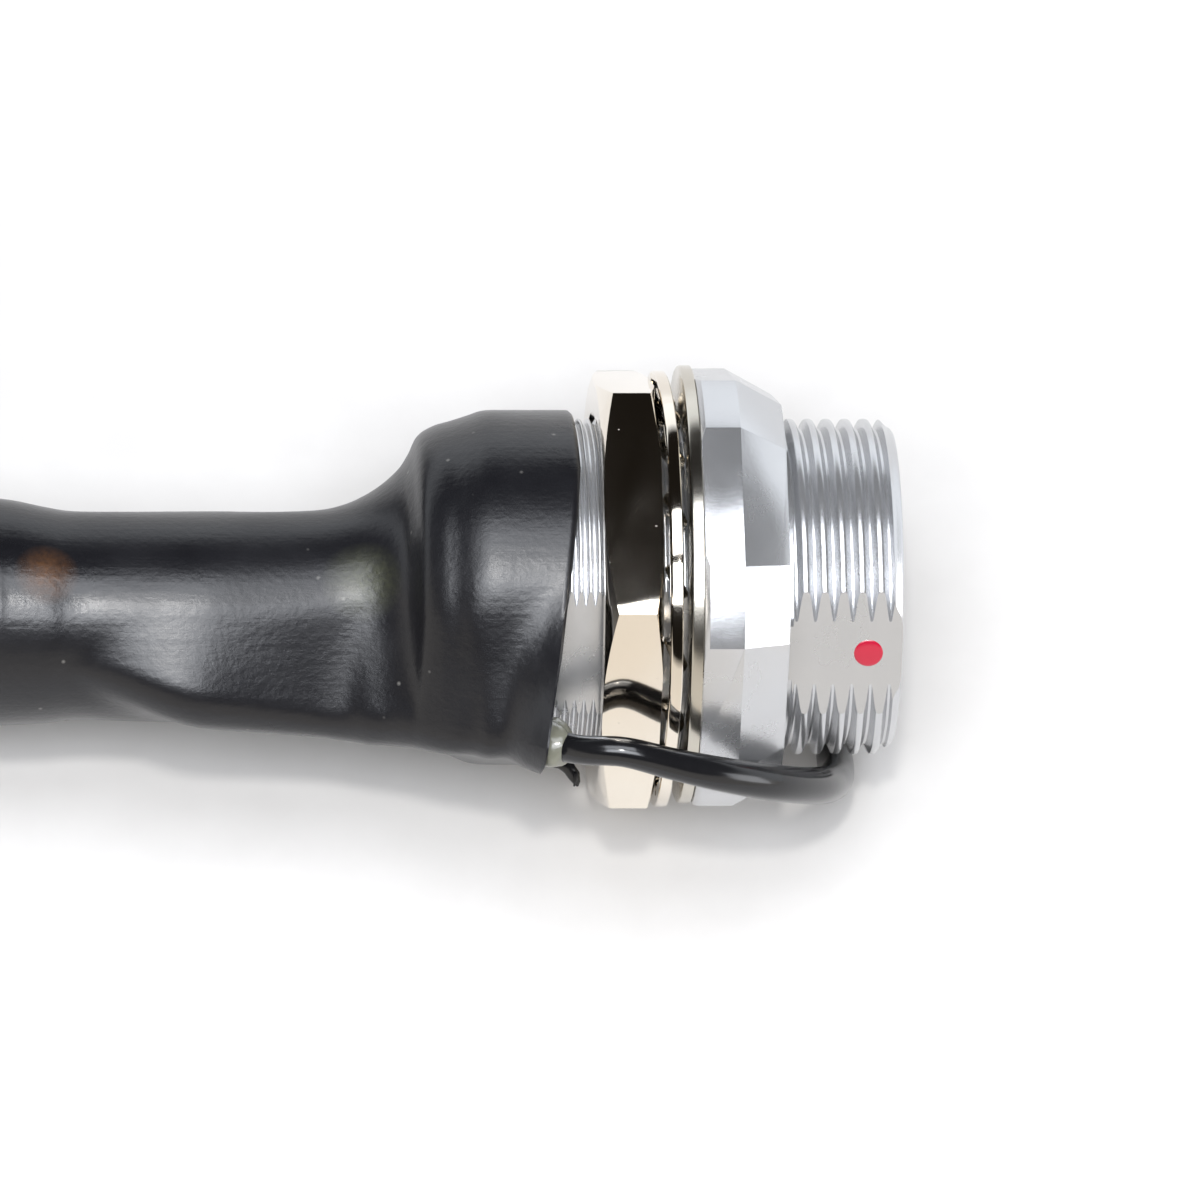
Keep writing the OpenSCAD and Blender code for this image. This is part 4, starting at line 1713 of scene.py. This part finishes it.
@dataclass
class Shell(Assembly):
    """The metal shell: front barrel, hexagonal flange and rear barrel."""

    rim_x: float = 10.8
    flange_af: float = 22.8
    flange_corner: float = 12.1
    flange_straight: float = 2.1
    flange_length: float = 4.6
    flange_front_flat: float = 10.05
    flange_front_corner: float = 10.6
    shell_end: float = -12.0
    step_x: float = -9.5
    step_radius: float = 8.6
    over_thread: float = 9.05
    run_in: float = 0.6
    thread_round: float = 0.035
    flange_round: float = 0.13
    socket: float = 7.0
    socket_groove: float = 7.4
    bore: float = 5.65
    rear_bore: float = 6.5
    key_box: tuple[Row, Row] = ((4.1, 6.0, -0.9), (12.0, 7.45, 0.9))
    dot_x: float = 9.0
    dot_radius: float = 0.8
    dot_depth: float = 0.3
    dot_sides: int = 40
    dot_dome: Pairs = (
        (0.0, 0.0), (0.0, 0.99), (0.27, 1.0), (0.31, 0.95), (0.335, 0.8), (0.35, 0.47),
        (0.355, 0.0),
    )

    def flat_cut(self, piece: Obj) -> Obj:
        """Mills the long flat on a threaded barrel."""
        cutter = block("flat_mill", mm(-14, THREAD_FLAT, -20), mm(13, 20, 20))
        return carved(piece, moved(cutter, about_x(THREAD_FLAT_ANGLE)), Cut.REMOVE)

    def crisp_flat(self, piece: Obj) -> None:
        """Shades the milled flat as one plane, apart from the thread beside it.

        Args:
            piece: The barrel.
        """
        turn = math.radians(THREAD_FLAT_ANGLE)
        out = Vector((0.0, math.cos(turn), math.sin(turn)))
        for face in piece.data.polygons:
            level = abs(face.center.dot(out) - THREAD_FLAT * MM) < WELD
            if level and face.normal.dot(out) > FACING:
                face.use_smooth = False

    def front_barrel(self) -> Obj:
        """Cuts the coarse front thread, its flat, its socket and its keyway.

        Returns:
            The front barrel.
        """
        flange, rim, socket = self.flange_length, self.rim_x, self.socket
        thread = Thread(
            flange - self.run_in, rim + self.run_in, pitch=1.0, minor=8.45, crest_x=5.32
        )
        envelope = turned("front_envelope", [
            (flange, socket), (rim - 0.4, socket), (rim, self.socket_groove),
            (rim, 8.38), (rim - 0.12, 8.52), (rim - 0.3, 8.6),
            (rim - 0.75, self.over_thread), (5.22, self.over_thread), (4.95, 8.4),
            (flange, 8.4),
        ])
        barrel = self.flat_cut(carved(thread.rod("front_barrel"), envelope, Cut.KEEP))
        key = block("key_cutter", *(mm(*corner) for corner in self.key_box))
        carved(barrel, moved(key, about_x(THREAD_FLAT_ANGLE)), Cut.REMOVE)
        return rounded(barrel, self.thread_round, 1, 50.0)

    def hex_flange(self) -> Obj:
        """Cuts the hexagonal flange with its turned corners and sloping front.

        Returns:
            The flange, with the socket's inner part in it.
        """
        straight, length, socket = self.flange_straight, self.flange_length, self.socket
        flange = hexagon("hex_flange", self.flange_af, 0.0, straight)
        shrink = self.flange_front_flat / (self.flange_af / 2)
        with editing(flange):
            bpy.ops.mesh.select_all(action="DESELECT")
        for face in flange.data.polygons:
            face.select = face.normal.x > FACING
        with editing(flange, everything=False):
            step = {"value": mm(length - straight, 0, 0)}
            bpy.ops.mesh.extrude_region_move(TRANSFORM_OT_translate=step)
            bpy.ops.transform.resize(value=(1, shrink, shrink))
        envelope = turned("flange_envelope", [
            (0, self.bore), (0, self.flange_corner - 0.25), (0.25, self.flange_corner),
            (straight, self.flange_corner), (length, self.flange_front_corner),
            (length, socket), (4.3, self.socket_groove), (3.3, self.socket_groove),
            (3.0, socket), (0.9, socket), (0.9, self.bore),
        ])
        carved(squared(flange), envelope, Cut.KEEP)
        return rounded(flange, self.flange_round, 3, 18.0)

    def rear_barrel(self) -> Obj:
        """Cuts the fine rear thread, its flat, its step and its bore.

        Returns:
            The rear barrel.
        """
        step, end, radius = self.step_x, self.shell_end, self.step_radius
        bore = self.rear_bore
        thread = Thread(
            step - self.run_in, self.run_in, pitch=0.5, minor=8.7, crest_x=-6.0,
            crest=0.24, root=0.18,
        )
        barrel = thread.rod("rear_barrel")
        envelope = turned("rear_envelope", [
            (0, self.bore), (0, radius), (-0.3, radius), (-0.6, self.over_thread),
            (step + 0.25, self.over_thread), (step, 8.72), (step, bore), (-2.5, bore),
            (-2.5, self.bore),
        ])
        self.flat_cut(carved(barrel, envelope, Cut.KEEP))
        tail = turned("barrel_step", [
            (step, bore), (step, radius), (end + 0.2, radius), (end, radius - 0.2),
            (end, bore),
        ])
        return joined([barrel, self.flat_cut(tail)], "rear_barrel")

    def index_dot(self) -> Obj:
        """Makes the enamel dot, a low dome with a soft edge.

        Returns:
            The dot.
        """
        turn = about_x(THREAD_FLAT_ANGLE)
        rings = []
        for rise, radius in self.dot_dome:
            reach = max(radius * self.dot_radius, 0.001)
            rings.append([
                turn @ mm(
                    self.dot_x + reach * math.cos(a), THREAD_FLAT - self.dot_depth + rise,
                    reach * math.sin(a),
                )
                for a in (math.tau * k / self.dot_sides for k in range(self.dot_sides))
            ])
        return wrapped("enamel_dot", rings)

    def build(self) -> None:
        """Makes, finishes and fits the shell's parts."""
        for piece in (self.front_barrel(), self.hex_flange(), self.rear_barrel()):
            self.crisp_flat(self.shelf.dress(piece, "satin_chrome", 32.0))
            fitted(piece, "satin_plate", "shell")
        self.fit(self.index_dot(), "red_enamel", "index_dot", angle=40.0)


# --- nut and washers


@dataclass
class NutStack(Assembly):
    """The hexagonal nut, the toothed washer and the flat washer."""

    washer_radius: float = 11.75
    washer_hole: float = 9.15
    washer_thick: float = 0.7
    lock_radius: float = 11.7
    lock_body: float = 10.6
    lock_height: float = 1.4
    lock_thick: float = 0.65
    teeth: int = 16
    tooth_width: float = 1.9
    tooth_twist: float = 25.0
    tooth_taper: float = 0.10
    tooth_rings: int = 8
    rim_margin: float = 0.6
    rim_fade: float = 1.4
    nut_af: float = 22.2
    nut_front: float = -2.15
    nut_rear: float = -5.25
    nut_angle: float = 0.9
    nut_round: float = 0.09
    nut_drop: Row = (0.0, -0.08, 0.0)
    washer_rise: Row = (0.0, 0.13, 0.0)
    lock_drop: Row = (0.0, -0.12, -0.03)
    warp: Pairs = (
        (-25, -0.34), (25, -0.38), (71, -0.115), (142, -0.05), (172, -0.2),
        (204, -0.22), (270, -0.28), (335, -0.34),
    )
    fine: int = 128

    @property
    def lock_middle(self) -> float:
        """Station of the toothed washer's middle."""
        return -self.washer_thick - self.lock_height / 2

    def warped(self, piece: Obj) -> Obj:
        """Bends the toothed washer's rim along the axis, and leaves its teeth.

        Args:
            piece: The washer.

        Returns:
            The same piece.
        """
        for vertex in piece.data.vertices:
            radius = math.hypot(vertex.co.y, vertex.co.z) / MM
            angle = math.degrees(math.atan2(vertex.co.z, vertex.co.y)) % 360
            if angle > self.warp[-1][0]:
                angle -= 360
            share = smooth((radius - self.washer_hole - self.rim_margin) / self.rim_fade)
            vertex.co.x += between(angle, self.warp) * share * MM
        return piece

    def flat_washer(self) -> Obj:
        """Turns the flat washer, with one rolled and one sheared edge.

        Returns:
            The washer.
        """
        edge, thick = 0.16, self.washer_thick
        hole, radius = self.washer_hole, self.washer_radius
        return turned("plain_washer", [
            (0, hole + 0.05), (0, radius - 0.08), (-0.06, radius), (-thick + edge, radius),
            (-thick + 0.05, radius - 0.05), (-thick, radius - edge), (-thick, hole + 0.1),
            (-thick + 0.08, hole), (-0.05, hole),
        ], self.fine)

    def tooth(self) -> Obj:
        """Makes one tooth, twisted more and more towards its tip at the bore.

        Returns:
            The tooth, pointing along +Y.
        """
        root, tip = self.lock_body + 0.5, self.washer_hole + 0.1
        thick, edge, bend_from, bend_over = self.lock_thick / 2, 0.12, 0.1, 0.7
        rings = []
        for i in range(self.tooth_rings + 1):
            f = i / self.tooth_rings
            y = root + (tip - root) * f
            bend = smooth((self.lock_body + bend_from - y) / bend_over)
            twist = math.radians(self.tooth_twist) * bend
            half = self.tooth_width / 2 * (1 - self.tooth_taper * smooth((f - 0.8) / 0.2))
            corners = [
                (half, thick - edge), (half - edge, thick), (0, thick),
                (-half + edge, thick), (-half, thick - edge), (-half, -thick + edge),
                (-half + edge, -thick), (0, -thick), (half - edge, -thick),
                (half, -thick + edge),
            ]
            rings.append([
                mm(
                    self.lock_middle + rise * math.cos(twist) + side * math.sin(twist), y,
                    side * math.cos(twist) - rise * math.sin(twist),
                )
                for side, rise in corners
            ])
        return wrapped("lock_tooth", rings)

    def lock_washer(self) -> Obj:
        """Makes the toothed washer from its body and copies of one tooth.

        Returns:
            The washer.
        """
        rear, front = (self.lock_middle + side * self.lock_thick / 2 for side in (-1, 1))
        inner, outer, edge, nick = self.lock_body, self.lock_radius, 0.12, 0.05
        body = turned("toothed_washer", [
            (rear, inner + edge), (rear, outer - edge), (rear + 0.04, outer - 0.04),
            (rear + edge, outer), (front - nick, outer), (front, outer - nick),
            (front, inner + nick), (front - nick, inner), (rear + edge, inner),
        ], self.fine)
        places = [about_x(360.0 * k / self.teeth) for k in range(self.teeth)]
        return joined([body, *copies(self.tooth(), places)], "toothed_washer")

    def hex_nut(self) -> Obj:
        """Cuts the nut from hexagonal bar, with chamfered faces and a bore.

        Returns:
            The nut.
        """
        front, rear = self.nut_front, self.nut_rear
        nut = squared(hexagon("chamfered_nut", self.nut_af, rear, front), self.nut_angle)
        envelope = turned("nut_envelope", [
            (front, 9.4), (front, 11.35), (front - 0.5, 12.87), (rear + 0.65, 12.87),
            (rear, 11.15), (rear, 9.4), (rear + 0.35, 9.05), (front - 0.35, 9.05),
        ], self.fine)
        return rounded(carved(nut, envelope, Cut.KEEP), self.nut_round, 3, 20.0)

    def build(self) -> None:
        """Makes, finishes and fits the nut and the washers."""
        washers = Body.WASHERS
        for piece, shift, finish, node, body in (
            (self.flat_washer(), self.washer_rise, "dull_nickel", "flat_washer", washers),
            (self.warped(self.lock_washer()), self.lock_drop, "bright_nickel",
             "lock_washer", washers),
            (self.hex_nut(), self.nut_drop, "bright_nickel", "hex_nut", Body.NUT),
        ):
            moved(piece, Matrix.Translation(mm(*shift)))
            self.fit(piece, finish, node, angle=28.0, body=body)


# --- insert


@dataclass
class Insert(Assembly):
    """The insulators, contacts and rings inside the shell."""

    nodes: dict[str, Obj]
    face_x: float = 4.4
    radius: float = 5.6
    circle: float = 3.6
    count: int = 7
    hole: float = 0.95
    contact: Pairs = (
        (4.2, 0.62), (4.2, 0.78), (4.05, 0.92), (-3.5, 0.92), (-3.5, 1.2), (-4.2, 1.2),
        (-4.2, 0.92), (-7.5, 0.92), (-7.5, 0.65), (-5.9, 0.65), (-5.9, AXIS),
        (-0.3, AXIS), (-0.3, 0.62),
    )
    plain: tuple[tuple[str, str], ...] = (
        ("socket_seal", "seal_rubber"), ("earthing_crown", "contact_gold"),
        ("rear_insulator", "insulator_plastic"), ("retaining_ring", "bright_nickel"),
        ("screen_ring", "bright_nickel"), ("clamp_collet", "bright_nickel"),
        ("clamp_nut", "bright_nickel"), ("conductors", "wire_white"),
        ("screened_core", "tinned_braid"), ("adhesive_lining", "hot_melt"),
    )

    def places(self) -> list[Matrix]:
        """Lists the contacts' places, the middle one first.

        Returns:
            Shifts from the axis.
        """
        ring = [
            math.radians(THREAD_FLAT_ANGLE + 360 * (k + 0.5) / self.count)
            for k in range(self.count)
        ]
        spots = [mm(0, self.circle * math.cos(a), self.circle * math.sin(a)) for a in ring]
        return [Matrix.Translation(spot) for spot in (mm(0, 0, 0), *spots)]

    def face(self) -> Obj:
        """Turns the front insulator and drills a countersunk hole for each contact.

        Returns:
            The front insulator.
        """
        front, radius, hole, sink = self.face_x, self.radius, self.hole, self.hole + 0.3
        disc = turned("front_insert", [
            (-4.2, AXIS), (-4.2, 6.45), (-2.55, 6.45), (-2.55, radius),
            (front - 0.3, radius), (front - 0.08, radius - 0.08), (front, radius - 0.3),
            (front, AXIS),
        ])
        for place in self.places():
            drill = turned("insert_drill", [
                (-5, AXIS), (-5, hole), (front - 0.25, hole), (front + 0.05, sink),
                (front + 0.5, sink), (front + 0.5, AXIS),
            ], 32)
            carved(disc, moved(drill, place), Cut.REMOVE)
        return disc

    def build(self) -> None:
        """Makes the insert, and finishes the plain solids that stay as they are."""
        self.fit(self.face(), "insulator_plastic", "front_insulator", angle=30.0)
        pattern = turned("contact_set", self.contact, 28)
        pins = joined(copies(pattern, self.places()), "contact_set")
        self.fit(pins, "contact_gold", "contacts", angle=30.0)
        for node, finish in self.plain:
            self.shelf.dress(self.nodes[node], finish)
            LOG.info("%s: finished with %s", node, finish)


# --- adhesive and painted shade


@dataclass
class Squeezed(Assembly):
    """The drops of adhesive where the cord comes out, and ragged strips of black film,
    which paint the deep shadow under the cord there.
    """

    drop_at: Row = (-7.6, -9.9, 2.6)
    drop_radius: float = 1.0
    collar_at: Row = (-8.0, -11.4, 4.7)
    collar_radius: float = 1.3
    lump: float = 0.16
    waves: tuple[Row, Row] = ((5.1, 1.3), (4.3, 0.7))
    # The two strips of painted shade below the cord, each row X, Y, Z and half the width.
    shade_flap: Rows = (
        (-8.95, -10.85, 1.9, 0.16), (-8.6, -10.9, 1.75, 0.25), (-7.95, -10.95, 1.6, 0.27),
        (-7.3, -11.0, 1.45, 0.3), (-6.85, -11.15, 1.2, 0.36), (-6.55, -11.45, 0.85, 0.34),
        (-6.4, -11.75, 0.6, 0.2), (-6.35, -11.9, 0.45, 0.05),
    )
    shade_scrap: Rows = (
        (-6.4, -11.35, 1.15, 0.05), (-6.45, -11.5, 1, 0.14), (-6.47, -11.7, 0.8, 0.13),
        (-6.55, -11.95, 0.55, 0.04),
    )
    thick: float = 0.12
    out: Row = (0.0, -0.45, 0.89)
    section: Pairs = (
        (1, 0.3), (0.85, 1), (0, 1.2), (-0.85, 1), (-1, 0.3), (-1, -0.3), (-0.85, -1),
        (0, -1.2), (0.85, -1), (1, -0.3),
    )

    def shade_strip(self, name: str, rows: Sequence[Row]) -> None:
        """Makes and fits a ragged black strip of film that paints shade and hangs edge-on
        to the light.

        Args:
            name: The piece's name.
            rows: X, Y, Z and half the width of each section.
        """
        out = Vector(self.out)
        rings = []
        for i, (*at, half) in enumerate(rows):
            ahead = Vector(rows[min(i + 1, len(rows) - 1)][:3])
            heading = (ahead - Vector(rows[max(i - 1, 0)][:3])).normalized()
            side = heading.cross(out).normalized()
            rings.append([
                (Vector(at) + half * across * side + self.thick * rise * out) * MM
                for across, rise in self.section
            ])
        # The strip takes the black cord finish, so that the painted shade stays dark under
        # the lamps.
        strip = self.shelf.dress(wrapped(name, rings), "tether_cord", 60.0)
        fitted(strip, "shrink_film")

    def drop(self, name: str, at: Row, radius: float, *stands_for: str) -> None:
        """Makes and fits a lumpy drop.

        Args:
            name: The piece's name.
            at: Its middle.
            radius: Its largest radius.
            stands_for: The plain solid that it replaces.
        """
        centre = mm(*at)
        bpy.ops.mesh.primitive_ico_sphere_add(
            subdivisions=5, radius=radius * MM, location=centre
        )
        drop = moved(named(name))
        (a, b), (c, d) = self.waves
        for vertex in drop.data.vertices:
            out = (vertex.co - centre).normalized()
            lump = 0.5 + 0.5 * math.sin(a * out.x + b) * math.sin(c * out.z + d)
            vertex.co = centre + out * radius * MM * (1 - self.lump + self.lump * lump)
        self.fit(drop, "hot_melt", *stands_for, angle=60.0)

    def build(self) -> None:
        """Makes and fits the drops and both strips of painted shade."""
        self.drop("adhesive_drop", self.drop_at, self.drop_radius, "adhesive_bead")
        self.drop("adhesive_collar", self.collar_at, self.collar_radius)
        self.shade_strip("painted_shade_flap", self.shade_flap)
        self.shade_strip("painted_shade_scrap", self.shade_scrap)


# --- main


def corners(bounds: Sequence[Sequence[float]]) -> list[list[float]]:
    """Turns a box into plain lists of numbers."""
    return [[round(float(value), 6) for value in corner] for corner in bounds]


def main() -> None:
    """Loads the plain solids, then builds and fits every sub-assembly."""
    logging.basicConfig(level=logging.INFO, format="%(name)s: %(message)s")
    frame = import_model()
    Studio().build()
    shelf = FinishShelf()
    tether = Tether(shelf)
    for assembly in (
        CableRun(shelf), tether, ShrinkSleeve(shelf, tether), Shell(shelf),
        NutStack(shelf), Insert(shelf, frame["nodes"]), Squeezed(shelf),
    ):
        assembly.build()


if __name__ == "__main__":
    main()
